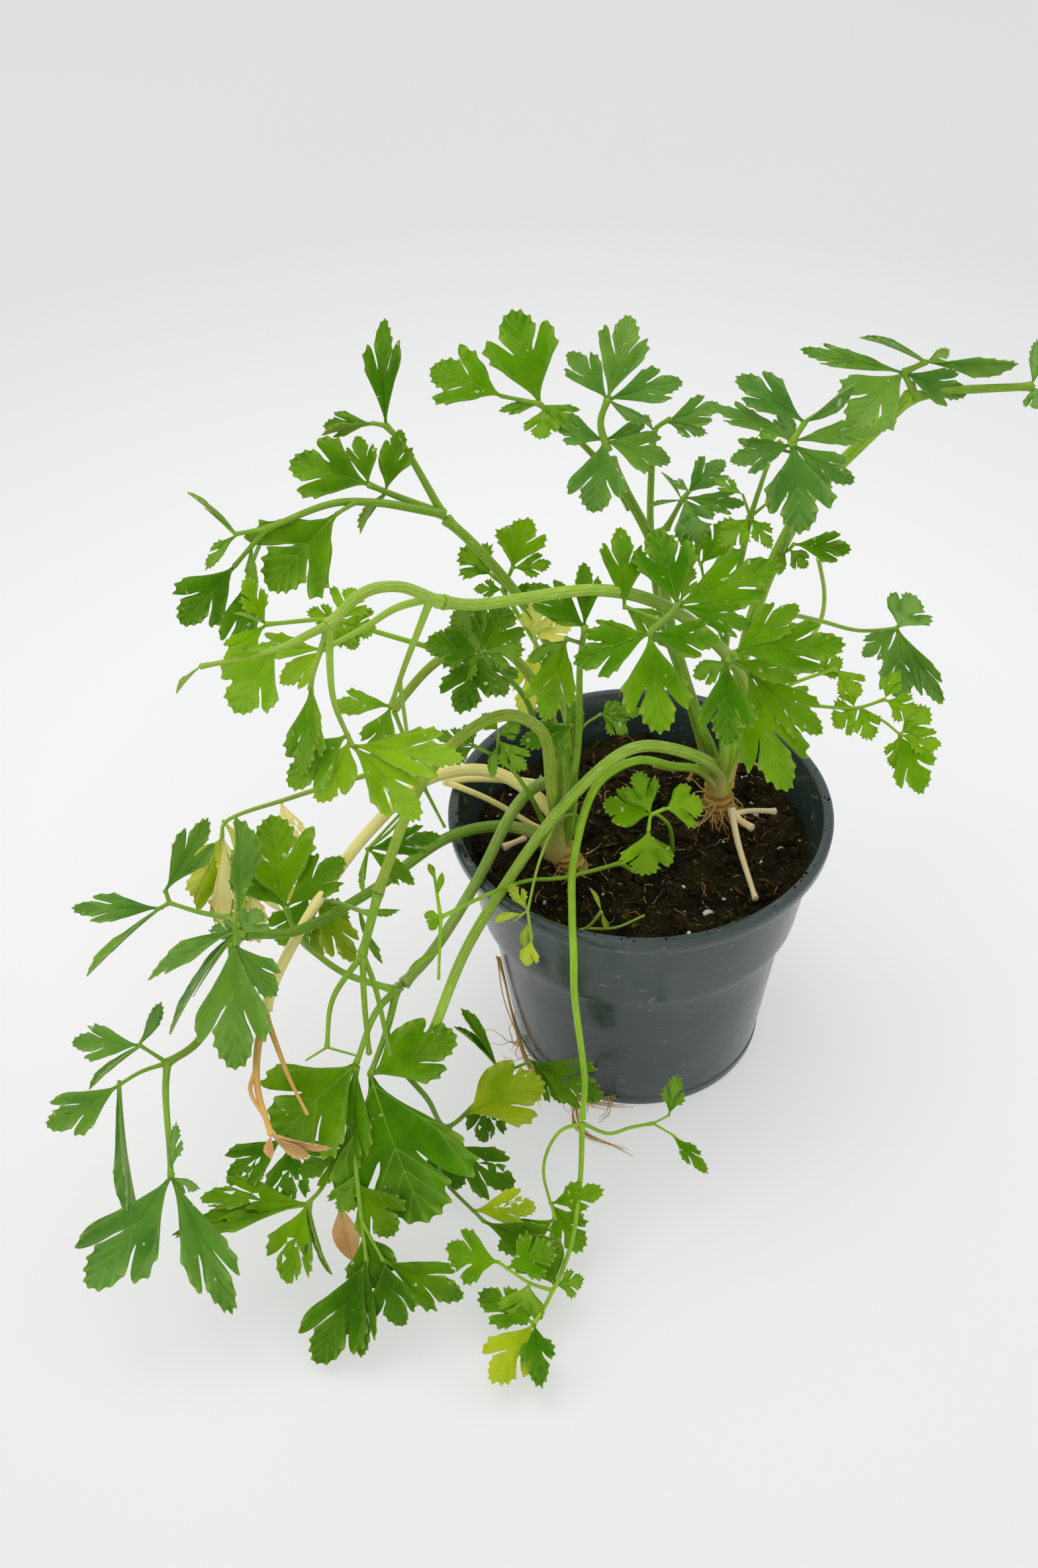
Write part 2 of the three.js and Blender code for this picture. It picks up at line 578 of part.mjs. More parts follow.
blade("blade_right_over_rim", "green2", [
  [1, 0.7, [[20, -34, 175], [21, -41, 185]], [
    [1, 30, 25, 22, 11, "tri"], [1, 5, 0, 31, 15, "tri"],
  ]],
  [0.7, 0.6, [[20, -39, 182], [19, -41, 182]], [
    [1, 265, -45, 23, 16, "tri"], [1, 195, -15, 10, 9, "bi"],
  ]],
  [0.8, 0.6, [[20, -39, 182], [26, -34, 173]], [
    [0.15, 345, -15, 19, 9, "bi", 20], [1, 290, -45, 35, 20, "tri"], [1, 330, -30, 27, 13, "tri"],
  ]],
  [1, 1, [[20, -34, 175], [20, -31, 172]], []],
]);
blade("blade_low_centre", "mid", [
  [0.7, 0.4, [[-20, 4, 110], [-18, -2, 128], [-13, -8, 138]], [
    [1, 340, -25, 10, 8, "tri"], [1, 20, 20, 7, 5, "bi"], [1, 5, 0, 13, 6, "bi", 10],
  ]],
  [0.6, 0.4, [[-20, 4, 110], [-22, -6, 126], [-22, -14, 139]], [
    [1, 40, 35, 6, 5, "bi"], [1, 195, -15, 16, 11, "tri"], [1, 230, -40, 11, 8, "tri"],
  ]],
]);
blade("blade_low_left", "mid", [
  [0.9, 0.5, [[-31, -10, 99], [-36, -18, 119], [-42, -26, 136], [-50, -32, 147]], [
    [1, 170, 15, 12, 7, "tri"], [1, 200, -20, 11, 6, "tri"], [1, 125, 40, 7, 5, "bi"],
  ]],
  [0.5, 0.4, [[-44, -28, 139], [-43, -28, 149]], [
    [1, 145, 35, 7, 6, "bi"], [0.6, 320, -35, 12, 9, "tri"], [0.5, 250, -45, 10, 4, "slim", 20],
    [0.9, 15, 15, 7, 6, "bi"],
  ]],
]);
petiole("petiole_cream", "cream", 2.2, 1.5, [
  [-27, -6, 96], [-34, 0, 101], [-47, 6, 105], [-65, 2, 106], [-83, -18, 103], [-98, -38, 94],
  [-110, -60, 84], [-113, -68, 79],
]);
blade("blade_cream_end", "tan", [
  [1.3, 0.8, [[-113, -70, 79], [-115, -78, 74], [-115, -88, 68], [-111, -99, 60]], [
    [1, 335, -25, 13, 5, "slim", 30], [1, 260, -45, 7, 4, "slim", 20], [1, 345, -15, 18, 3, "slim", 30],
  ]],
  [1, 0.4, [[-113, -70, 79], [-106, -85, 68], [-101, -92, 60]], []],
  [0.7, 0.5, [[-117, -83, 71], [-117, -89, 68], [-112, -96, 62]], []],
]);
blade("petioles_withered_left", "cream", [
  [1.5, 1.2, [[-25, 8, 94], [-33, 10, 96], [-51, 13, 96], [-61, 12, 96]], []],
  [1.1, 0.9, [[-61, 12, 96], [-47, 6, 93], [-32, 0, 86]], []],
]);
petiole("petiole_olive_arch", "olive", 2, 1.5, [
  [-26, -17, 98], [-28, -20, 120], [-31, -27, 148], [-41, -32, 158], [-52, -37, 156], [-65, -46, 145],
  [-78, -61, 119],
]);
blade("blade_olive_arch", "green", [
  [1.4, 1.2, [[-78, -61, 118], [-83, -71, 104]], []],
  [0.8, 0.5, [[-80, -64, 113], [-94, -38, 93], [-103, -28, 85]], [
    [1, 230, -40, 17, 14, "fan"], [1, 280, -50, 20, 8, "tri"], [0.9, 315, -40, 23, 12, "tri"],
    [0.25, 355, -5, 12, 3, "slim", 20], [0.25, 295, -45, 17, 4, "slim", 30], [0.9, 340, -25, 13, 8, "tri"],
  ]],
  [1, 0.6, [[-83, -71, 104], [-92, -78, 93], [-94, -86, 82]], []],
  [1, 0.7, [[-83, -71, 104], [-83, -78, 93], [-82, -88, 81]], []],
  [0.9, 0.6, [[-83, -71, 104], [-80, -74, 94], [-76, -88, 80]], []],
  [0.4, 0.3, [[-94, -86, 82], [-100, -89, 80]], []],
  [0.4, 0.3, [[-94, -86, 82], [-84, -90, 82]], []],
]);
petiole("petiole_dark_left", "dark", 2, 1.4, [
  [-32, -14, 96], [-43, -12, 98], [-59, -15, 97], [-83, -32, 91], [-104, -50, 93], [-117, -59, 101],
]);
blade("blade_dark_left", "blue", [
  [1, 0.8, [[-118, -60, 102], [-120, -61, 104], [-120, -63, 101]], [
    [0.5, 220, -35, 35, 12, "slim", 40], [0.85, 265, -45, 38, 23, "tri", 10], [1, 320, -35, 19, 12, "fan"],
    [0.1, 40, 35, 9, 11, "fan", 10], [0, 175, 10, 10, 8, "bi", 10],
  ]],
  [0.6, 0.5, [[-120, -61, 104], [-118, -63, 114]], [
    [0.9, 60, 65, 30, 13, "slim", 45], [0.1, 195, -15, 29, 8, "slim", 15],
  ]],
]);
blade("blade_mid_left_big", "mid", [
  [1.1, 0.8, [[-76, -66, 84], [-90, -60, 85], [-98, -55, 88], [-105, -42, 83], [-108, -39, 92]], [
    [1, 105, 50, 28, 26, "tri"], [1, 30, 30, 23, 14, "tri"], [1, 150, 30, 23, 14, "tri", 10],
  ]],
  [1.1, 1.1, [[-76, -66, 84], [-74.5, -60.5, 79.5]], []],
]);
blade("blade_far_left_upper", "blue", [
  [0.9, 0.6, [[-123, -52, 101], [-133, -46, 98], [-142, -40, 96]], []],
  [0.6, 0.5, [[-142, -40, 96], [-143, -38, 99]], [
    [1, 45, 40, 25, 14, "tri", 30],
  ]],
  [0.6, 0.5, [[-142, -40, 96], [-146, -42, 95]], [
    [0.7, 180, 0, 27, 10, "tri", 15], [1, 210, -25, 29, 5, "slim", 45],
  ]],
  [0.9, 0.9, [[-123, -52, 101], [-119, -57, 101]], []],
]);
blade("blade_yellow_back", "yellow", [
  [0.9, 0.6, [[-94, 20, 90], [-110, 14, 89], [-131, 6, 86], [-132, 4, 82]], [
    [1, 235, -45, 22, 18, "fan"], [1, 268, -50, 30, 18, "tri"], [0.9, 320, -35, 34, 20, "tri"],
    [0.45, 295, -50, 16, 10, "tri"], [1, 295, -45, 36, 22, "tri"],
  ]],
  [0.9, 0.9, [[-94, 20, 90], [-78, 19, 95], [-61, 13, 97]], []],
]);
blade("blade_behind_olive", "mid", [
  [0.6, 0.4, [[-65, -30, 130], [-63, -28, 122], [-60, -26, 111]], []],
  [0.5, 0.4, [[-82, -50, 143], [-81, -50, 125]], [
    [1, 5, 5, 21, 9, "tri"], [1, 335, -25, 17, 8, "bi"], [1, 255, -45, 14, 5, "slim", 40],
  ]],
  [0.5, 0.4, [[-81, -50, 125], [-74, -44, 127], [-65, -30, 130]], []],
  [0.6, 0.6, [[-65, -30, 130], [-69, -30, 146], [-72, -30.5, 159]], []],
]);
blade("blade_far_left_low", "blue", [
  [1.5, 1.1, [[-123, -50, 88], [-125, -54, 77], [-134, -70, 68], [-142, -78, 68]], []],
  [1.1, 0.8, [[-142, -78, 68], [-142, -86, 65], [-140, -102, 58], [-139, -110, 56]], [
    [1, 225, -35, 40, 23, "tri"], [1, 305, -45, 44, 15, "tri"], [1, 340, -20, 9, 7, "bi", 40],
    [0.95, 80, 45, 14, 6, "bi", 30],
  ]],
  [0.7, 0.5, [[-142, -78, 68], [-149, -78, 76]], [
    [1, 180, 5, 20, 11, "tri"], [1, 50, 40, 14, 6, "slim", 35], [1, 205, -25, 20, 5, "slim", 50],
  ]],
  [0.7, 0.5, [[-142, -78, 68], [-149, -82, 69], [-155, -87, 69]], [
    [1, 205, -20, 24, 14, "tri"], [1, 275, -45, 45, 10, "slim", 40],
  ]],
  [1.4, 1.3, [[-123, -50, 88], [-118.5, -57, 99]], []],
]);
petiole("petiole_grey_green", "grey", 2.1, 1.6, [
  [-23, 4, 89], [-25, 4, 99], [-32, -6, 109], [-39, -15, 108], [-51, -32, 94], [-65, -50, 82],
  [-73, -58, 78],
]);
blade("blade_grey_green", "mid", [
  [1.2, 0.8, [[-74, -59, 78], [-81, -66, 75], [-87, -79, 67]], [
    [1, 210, -30, 33, 34, "fan"], [1, 262, -45, 34, 14, "tri", 10],
  ]],
  [1.2, 0.8, [[-75, -60, 77], [-78, -68, 70], [-83, -81, 64]], [
    [1, 15, 15, 28, 20, "fan"], [1, 292, -45, 47, 45, "fan"],
  ]],
]);
blade("blade_lower_green", "dark", [
  [0.9, 0.6, [[-88, -86, 50], [-88, -96, 47], [-87, -106, 39], [-85, -120, 28]], [
    [0.25, 195, -15, 18, 13, "tri"], [0.4, 245, -45, 13, 12, "tri"], [0.45, 315, -35, 19, 17, "tri"],
    [1, 235, -40, 34, 20, "tri"], [1, 262, -45, 28, 12, "tri", 20], [0.8, 290, -45, 17, 16, "fan"],
  ]],
  [0.6, 0.5, [[-87, -112, 35], [-80, -121, 29]], [
    [1, 345, -20, 26, 15, "tri", 15], [1, 290, -45, 20, 16, "tri", 10],
  ]],
  [0.5, 0.4, [[-87, -104, 39], [-93, -103, 34]], [
    [1, 280, -45, 18, 8, "slim"],
  ]],
  [0.9, 0.9, [[-88, -86, 50], [-88, -82, 58], [-87, -79.5, 66]], []],
]);
blade("blade_holed_and_underside", "mid", [
  [0.8, 0.6, [[-92, -90, 43], [-98, -101, 38], [-102, -107, 38]], [
    [1, 175, 5, 32, 14, "tri"], [1, 185, -5, 41, 8, "slim", 15], [1, 240, -40, 24, 17, "tri", 10],
    [1, 285, -45, 22, 6, "slim", 40], [0.9, 260, -45, 20, 5, "slim", 20],
  ]],
  [0.5, 0.4, [[-92, -90, 43], [-109, -92, 50]], [
    [1, 205, -25, 22, 14, "tri"], [0.85, 260, -45, 21, 14, "tri"],
  ]],
  [0.8, 0.8, [[-92, -90, 43], [-88.5, -89.5, 48]], []],
]);
petiole("petiole_bright", "light", 2, 1.5, [
  [25, 7, 98], [22, 0, 110], [12, -6, 121], [0, -10, 127], [-8, -14, 127], [-25, -23, 115], [-43, -37, 96],
  [-55, -52, 84], [-64, -70, 72], [-67, -74, 67],
]);
blade("blade_pot_foot", "dark", [
  [0.9, 0.7, [[-76, -71, 57], [-68, -74, 46], [-62, -66, 22], [-53, -58, 24], [-45, -50, 28]], [
    [0.9, 255, -50, 18, 14, "tri"], [0.72, 15, 15, 27, 22, "fan"], [0.55, 280, -50, 21, 15, "fan"],
  ]],
  [0.6, 0.4, [[-45, -50, 28], [-36, -49, 32]], [
    [1, 345, -20, 26, 16, "tri"], [1, 325, -40, 18, 9, "bi", 10],
  ]],
  [0.7, 0.5, [[-62, -66, 22], [-64, -88, 27], [-51, -105, 25]], [
    [0.2, 340, -25, 26, 16, "tri"], [0.9, 5, 0, 19, 12, "tri"], [1, 340, -15, 24, 13, "tri", 10],
  ]],
  [0.4, 0.3, [[-45, -50, 28], [-47, -47, 29]], [
    [1, 130, 45, 21, 5, "slim", 30], [1, 145, 40, 18, 4, "slim", 40],
  ]],
  [0.9, 0.8, [[-76, -71, 57], [-78.3, -69.5, 69.5]], []],
]);
petiole("petiole_thin_front", "young", 1.5, 0.9, [
  [23, 6, 98], [17, 1, 108], [9, -2, 112], [-2, -6, 118], [-14, -13, 115], [-22, -34, 103], [-23, -50, 97],
  [-23, -62, 93], [-23, -67, 82], [-20, -71, 45], [-21, -75, 35],
]);
blade("blade_floor_left", "young", [
  [0.9, 0.6, [[-21, -76, 34], [-22, -88, 23], [-26, -110, 17], [-33, -125, 13], [-37, -131, 11]], [
    [0.8, 115, 10, 18, 17, "fan"], [0.8, 10, 0, 9, 9, "bi"], [1, 150, 5, 20, 13, "tri"],
    [1, 235, 0, 23, 17, "tri"], [1, 275, 0, 21, 11, "bi"],
  ]],
  [0.6, 0.4, [[-21, -76, 34], [-28, -80, 35], [-33, -85, 25], [-30, -100, 19]], [
    [1, 200, -20, 20, 14, "tri"], [0.85, 10, 10, 17, 10, "tri"], [0.85, 315, -40, 18, 13, "tri"],
  ]],
  [0.6, 0.5, [[-21, -76, 34], [-13, -77, 30], [-6, -74, 29], [1, -71, 27]], []],
  [0.6, 0.4, [[-32, -122, 14], [-38, -122, 18], [-47, -118, 23]], [
    [1, 175, 10, 16, 17, "fan"], [0.8, 20, 10, 16, 15, "tri"], [0.4, 240, -40, 13, 14, "fan"],
  ]],
  [0.4, 0.3, [[1, -71, 27], [6, -68, 27]], [
    [1, 65, 50, 13, 8, "tri"],
  ]],
  [0.4, 0.3, [[1, -71, 27], [8, -75, 25]], [
    [0.9, 325, -35, 17, 6, "tri"],
  ]],
]);
blade("blade_young_sprig", "young", [
  [0.8, 0.5, [[10, -6, 80], [9, -10, 91], [7, -14, 100], [2, -18, 107], [1, -21, 103]], [
    [0.85, 170, 10, 15, 12, "fan"], [0.85, 115, 45, 14, 11, "fan"], [1, 260, -50, 14, 17, "fan"],
  ]],
  [0.6, 0.5, [[2, -18, 108], [6, -17, 108]], [
    [1, 5, 5, 12, 14, "fan"],
  ]],
]);
blade("blade_yellow_loops", "yellow2", [
  [0.6, 0.4, [[-20, -14, 103], [-26, -22, 109], [-32, -36, 106], [-36, -49, 98]], [
    [1, 135, 40, 10, 6, "bi", 20],
  ]],
  [0.6, 0.5, [[-26, -22, 109], [-36, -23, 94], [-41, -29, 87], [-32, -39, 80], [-19, -43, 84],
    [-14, -42, 90]], [
    [1, 125, 45, 8, 3, "slim", 20], [1, 295, -45, 6, 2, "slim", 20],
  ]],
  [0.5, 0.4, [[-36, -49, 98], [-35, -57, 94]], [
    [0.4, 250, -45, 8, 5, "bi"], [1, 245, -45, 8, 8, "bi"],
  ]],
  [0.4, 0.4, [[-36, -49, 98], [-40, -51, 96]], [
    [0.3, 190, -5, 9, 4, "slim", 20],
  ]],
  [0.5, 0.4, [[-19, -43, 84], [-10, -44, 85], [-1, -40, 86]], []],
]);
blade("sprig_ragged", "young", [
  [0.7, 0.6, [[-7, -17, 86], [-25, -25, 88], [-35, -32, 94], [-46, -44, 101], [-61, -58, 105]], [
    [1, 170, 10, 5, 5, "bi"], [1, 215, -30, 5, 3, "slim"],
  ]],
  [0.6, 0.4, [[-61, -58, 105], [-63, -46, 113]], [
    [0.8, 115, 45, 5, 2, "slim"], [0.5, 70, 45, 7, 2, "slim"],
  ]],
  [0.6, 0.4, [[-61, -58, 105], [-62, -70, 92]], [
    [0.5, 200, -15, 11, 2, "slim", 20],
  ]],
  [0.7, 0.7, [[-7, -17, 86], [-3, -16, 81.5]], []],
]);
blade("withered_stubs_right", "straw", [
  [1.1, 0.8, [[29, 4, 88], [30, -8, 85.5], [33, -33, 85]], []],
  [1.2, 1.0, [[29, 4, 88], [31, 1, 87], [35, -3, 86.5]], []],
  [0.9, 0.9, [[30, 2, 88], [35, 4, 87.5], [43, 4, 87]], []],
]);
petiole("withered_stub_left", "straw", 1.1, 0.8, [[-43, -8, 85.5], [-36, -5, 86.5]]);
blade("root_loops_right", "root", [
  [0.6, 0.5, [[17, 21, 86], [20, 22, 92], [27, 23, 94], [35, 22, 93], [43, 21, 89], [48, 20, 85.5]], []],
  [0.5, 0.4, [[20, 22, 92], [12, 24, 88], [6, 29, 85.5]], []],
]);
blade("roots_from_the_foot", "root", [
  [0.6, 0.5, [[-46, -14, 42], [-43, -16, 22], [-39.5, -19, 8], [-36.5, -23.5, 2.2], [-30.5, -31, 1.5],
    [-21.5, -38, 1.5], [-11, -42.2, 1.5], [0, -43.2, 1.5]], []],
  [0.5, 0.4, [[-21.5, -38, 1.5], [-21, -51, 1.2], [-5, -62, 1.1]], []],
]);

export default group;
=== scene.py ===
"""Potted flat-leaf parsley: a nursery pot, soil, two root crowns, arching petioles and toothed leaflets.

Metres, +Z up, origin at the centre of the pot's foot. The plant's routes are in millimetres and use the
part's own stalks and leaflets, so that every piece lies where its solid lies. Only the feet of some
petioles go further than their solids, down into the crown that they grow from.
"""

import itertools
import math
import random

import bpy
import numpy as np
from mathutils import Matrix, Vector, noise
from mathutils.geometry import delaunay_2d_cdt


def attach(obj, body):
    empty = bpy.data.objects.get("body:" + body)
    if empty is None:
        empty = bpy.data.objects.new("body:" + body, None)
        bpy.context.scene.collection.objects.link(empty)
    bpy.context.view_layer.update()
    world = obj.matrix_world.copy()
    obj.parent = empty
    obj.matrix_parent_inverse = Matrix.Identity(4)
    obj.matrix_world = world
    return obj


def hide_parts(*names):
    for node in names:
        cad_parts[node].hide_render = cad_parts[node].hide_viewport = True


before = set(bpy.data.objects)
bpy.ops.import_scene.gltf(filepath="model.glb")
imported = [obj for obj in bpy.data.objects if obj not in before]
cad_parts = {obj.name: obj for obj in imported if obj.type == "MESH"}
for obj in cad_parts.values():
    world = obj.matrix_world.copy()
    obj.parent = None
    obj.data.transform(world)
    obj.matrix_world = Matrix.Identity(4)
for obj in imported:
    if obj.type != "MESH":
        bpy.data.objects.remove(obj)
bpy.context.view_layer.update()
bpy.ops.object.select_all(action="DESELECT")

MM = 0.001
# The leaflets turn their faces to this side: up, and to the front.
LIGHT_SIDE = np.array((0.0, -0.66, 0.75)) / math.hypot(0.66, 0.75)

# ---- camera, light and floor ----


def camera():
    """Stands in front of the pot, above it, and looks down over the leaning plant."""
    pitch = math.radians(41.0)
    roll = math.radians(-1.4)
    forward = Vector((0, math.cos(pitch), -math.sin(pitch)))
    level = Vector((1, 0, 0))
    upright = level.cross(forward)
    right = level * math.cos(roll) + upright * math.sin(roll)
    up = upright * math.cos(roll) - level * math.sin(roll)
    lens = bpy.data.cameras.new("camera")
    lens.lens = 48
    lens.sensor_width = 36
    lens.clip_start = 0.01
    eye = bpy.data.objects.new("camera", lens)
    turn = Matrix((right, up, -forward)).transposed().to_4x4()
    eye.matrix_world = Matrix.Translation((-0.0376, -0.486, 0.527)) @ turn
    bpy.context.collection.objects.link(eye)
    bpy.context.scene.camera = eye


def soft_light(name, place, aim, size, watts):
    lamp = bpy.data.lights.new(name, "AREA")
    lamp.shape = "DISK"
    lamp.size = size
    lamp.energy = watts
    lamp.color = (1.0, 0.99, 0.97)
    holder = bpy.data.objects.new(name, lamp)
    holder.location = place
    holder.rotation_euler = (Vector(aim) - Vector(place)).to_track_quat("-Z", "Y").to_euler()
    bpy.context.collection.objects.link(holder)


def studio():
    """A white tent: light from all round, a little more from above and from the left."""
    world = bpy.data.worlds.new("white tent")
    world.use_nodes = True
    world.node_tree.nodes["Background"].inputs["Color"].default_value = (0.985, 0.99, 1.0, 1)
    world.node_tree.nodes["Background"].inputs["Strength"].default_value = 0.93
    bpy.context.scene.world = world
    bpy.context.scene.view_settings.view_transform = "Standard"
    soft_light("overhead softbox", (-0.35, 0.25, 1.35), (0, 0, 0.05), 0.9, 3.0)
    soft_light("left softbox", (-1.2, -0.5, 0.9), (0, 0, 0.1), 0.8, 0.9)
    bpy.ops.mesh.primitive_plane_add(size=9)
    floor = bpy.context.object
    floor.name = "studio_floor"
    floor.data.materials.append(floor_paper())
    bpy.ops.object.select_all(action="DESELECT")


# ---- shader nodes ----


def put(tree, kind, inputs=None, **settings):
    """One node with its settings. An input that is a socket is linked, anything else is its value."""
    node = tree.nodes.new(kind)
    for key, value in settings.items():
        setattr(node, key, value)
    for key, value in (inputs or {}).items():
        if isinstance(value, bpy.types.NodeSocket):
            tree.links.new(value, node.inputs[key])
        else:
            node.inputs[key].default_value = value
    return node


def rgb(red, green, blue):
    """A colour given as on a paint chart, 0 to 255, in the renderer's linear values."""
    chart = (red, green, blue)
    return tuple((c / 255 / 12.92 if c < 11 else ((c / 255 + 0.055) / 1.055) ** 2.4) for c in chart) + (1,)


def blend(tree, factor, first, second):
    """The first colour where the factor is 0, the second where it is 1."""
    return put(tree, "ShaderNodeMix", {0: factor, 6: first, 7: second}, data_type="RGBA").outputs[2]


def calc(tree, operation, first, second=0.0):
    return put(tree, "ShaderNodeMath", {0: first, 1: second}, operation=operation).outputs[0]


def overlay(tree, skin, mask, strength, color):
    """The skin with another colour over it where the mask is 1, no denser than the strength."""
    return blend(tree, calc(tree, "MULTIPLY", mask, strength), skin, color)


def fade(tree, value, low, high, start=0.0, end=1.0):
    """start below low, end above high, and a straight fade between."""
    return put(tree, "ShaderNodeMapRange", {0: value, 1: low, 2: high, 3: start, 4: end}).outputs[0]


def grain(tree, vector, scale, detail=2.0):
    return put(tree, "ShaderNodeTexNoise", {"Vector": vector, "Scale": scale, "Detail": detail}).outputs[0]


def place_of(tree):
    return put(tree, "ShaderNodeTexCoord").outputs["Object"]


def new_group(name, inputs, outputs):
    tree = bpy.data.node_groups.new(name, "ShaderNodeTree")
    kinds = {"color": "NodeSocketColor", "value": "NodeSocketFloat"}
    for label, kind in inputs:
        tree.interface.new_socket(label, in_out="INPUT", socket_type=kinds[kind])
    for label, kind in outputs:
        tree.interface.new_socket(label, in_out="OUTPUT", socket_type=kinds[kind])
    return tree, put(tree, "NodeGroupInput"), put(tree, "NodeGroupOutput")


SURFACE = [("Color", "color"), ("Roughness", "value"), ("Height", "value")]


def send(tree, outlet, color, roughness, height):
    for label, socket in (("Color", color), ("Roughness", roughness), ("Height", height)):
        tree.links.new(socket, outlet.inputs[label])


def leaf_surface():
    """Leaf skin: mottled blade, raised pale veins, pale tooth tips, dull underside, a few pale specks."""
    colours = ["Blade", "Deep", "Vein", "Underside", "Tip"]
    tree, inlet, outlet = new_group(
        "leaf surface", [(c, "color") for c in colours] + [("Sheen", "value"), ("Specks", "value")], SURFACE
    )
    marks = put(tree, "ShaderNodeAttribute", attribute_name="marks").outputs["Color"]
    vein, tip, under = put(tree, "ShaderNodeSeparateColor", {0: marks}).outputs[:3]
    tint = put(tree, "ShaderNodeAttribute", attribute_name="tint").outputs["Fac"]
    place = place_of(tree)
    cloud = fade(tree, grain(tree, place, 70, 3), 0.38, 0.66)
    cells = grain(tree, place, 1500, 1)
    skin = blend(tree, cloud, inlet.outputs["Blade"], inlet.outputs["Deep"])
    hue = fade(tree, tint, 0, 1, 0.515, 0.485)
    value = fade(tree, tint, 0, 1, 0.78, 1.22)
    skin = put(tree, "ShaderNodeHueSaturation", {0: hue, 2: value, 4: skin}).outputs[0]
    skin = blend(tree, under, skin, inlet.outputs["Underside"])
    skin = overlay(tree, skin, vein, 0.45, inlet.outputs["Vein"])
    skin = overlay(tree, skin, tip, 0.5, inlet.outputs["Tip"])
    specks = fade(tree, grain(tree, place, 330, 2), 0.715, 0.735)
    skin = overlay(tree, skin, specks, inlet.outputs["Specks"], rgb(214, 222, 170))
    rough = calc(tree, "ADD", calc(tree, "MULTIPLY", cells, 0.14), inlet.outputs["Sheen"])
    rough = calc(tree, "ADD", rough, calc(tree, "MULTIPLY", under, 0.16))
    height = calc(tree, "ADD", calc(tree, "MULTIPLY", cells, 0.5), calc(tree, "MULTIPLY", vein, -0.6))
    send(tree, outlet, skin, rough, height)
    return tree


RIBS = 9


def stalk_surface():
    """Ribbed stalk: darker grooves run along it, with long pale streaks.

    The UV map gives the length along it in millimetres and the turn around it from 0 to 1.
    """
    inputs = [("Body", "color"), ("Groove", "color"), ("Streak", "color"), ("Sheen", "value")]
    tree, inlet, outlet = new_group("stalk surface", inputs, SURFACE)
    across = put(tree, "ShaderNodeUVMap", uv_map="growth").outputs[0]
    along, around, _ = put(tree, "ShaderNodeSeparateXYZ", {0: across}).outputs
    place = place_of(tree)
    drift = calc(tree, "MULTIPLY", grain(tree, place, 60, 1), 2.5)
    wave = calc(tree, "SINE", calc(tree, "ADD", calc(tree, "MULTIPLY", around, math.tau * RIBS), drift))
    groove = fade(tree, wave, -0.2, 0.9)
    skin = overlay(tree, inlet.outputs["Body"], groove, 0.45, inlet.outputs["Groove"])
    long_way, round_way = calc(tree, "MULTIPLY", along, 0.12), calc(tree, "MULTIPLY", around, RIBS)
    stretched = put(tree, "ShaderNodeCombineXYZ", {0: long_way, 1: round_way}).outputs[0]
    streak = fade(tree, grain(tree, stretched, 2.2, 3), 0.5, 0.68)
    skin = overlay(tree, skin, streak, 0.6, inlet.outputs["Streak"])
    marks = put(tree, "ShaderNodeAttribute", attribute_name="marks").outputs["Color"]
    blanched, browned, _ = put(tree, "ShaderNodeSeparateColor", {0: marks}).outputs
    skin = overlay(tree, skin, blanched, 0.85, rgb(222, 206, 128))
    skin = overlay(tree, skin, browned, 0.7, rgb(172, 138, 66))
    blotch = fade(tree, grain(tree, place, 45, 2), 0.35, 0.7, 0.84, 1.12)
    skin = put(tree, "ShaderNodeHueSaturation", {2: blotch, 4: skin}).outputs[0]
    rough = calc(tree, "ADD", calc(tree, "MULTIPLY", streak, 0.12), inlet.outputs["Sheen"])
    height = calc(tree, "ADD", calc(tree, "MULTIPLY", groove, -0.7), calc(tree, "MULTIPLY", streak, 0.2))
    send(tree, outlet, skin, rough, height)
    return tree


def earth_surface():
    """Crumbly matter: three sizes of grain, a second colour in patches and a third in specks."""
    inputs = [("Body", "color"), ("Patch", "color"), ("Speck", "color"), ("Specks", "value")]
    tree, inlet, outlet = new_group("earth surface", inputs, SURFACE)
    place = place_of(tree)
    coarse = grain(tree, place, 120, 4)
    fine = grain(tree, place, 900, 3)
    skin = blend(tree, fade(tree, coarse, 0.4, 0.62), inlet.outputs["Body"], inlet.outputs["Patch"])
    shade = fade(tree, fine, 0.3, 0.7, 0.45, 1.5)
    skin = put(tree, "ShaderNodeHueSaturation", {2: shade, 4: skin}).outputs[0]
    specks = fade(tree, grain(tree, place, 620, 1), 0.68, 0.72)
    skin = overlay(tree, skin, specks, inlet.outputs["Specks"], inlet.outputs["Speck"])
    rough = fade(tree, fine, 0.2, 0.8, 0.75, 1.0)
    height = calc(tree, "ADD", coarse, calc(tree, "MULTIPLY", fine, 0.5))
    send(tree, outlet, skin, rough, height)
    return tree


GROUPS = {"leaf": leaf_surface(), "stalk": stalk_surface(), "earth": earth_surface()}


def blank_material(name):
    """A new material, with its node tree and its shader."""
    material = bpy.data.materials.new(name)
    material.use_nodes = True
    return material, material.node_tree, material.node_tree.nodes["Principled BSDF"]


def dress(tree, shader, color, roughness, height, bump, depth):
    """Gives the shader its colour, its roughness and its relief."""
    relief = put(tree, "ShaderNodeBump", {"Strength": bump, "Distance": depth, "Height": height})
    tree.links.new(color, shader.inputs["Base Color"])
    tree.links.new(roughness, shader.inputs["Roughness"])
    tree.links.new(relief.outputs["Normal"], shader.inputs["Normal"])


def let_light_in(shader, weight, reach, scale):
    """Light enters the skin and leaves it again a little way off."""
    shader.inputs["Subsurface Weight"].default_value = weight
    shader.inputs["Subsurface Radius"].default_value = reach
    shader.inputs["Subsurface Scale"].default_value = scale


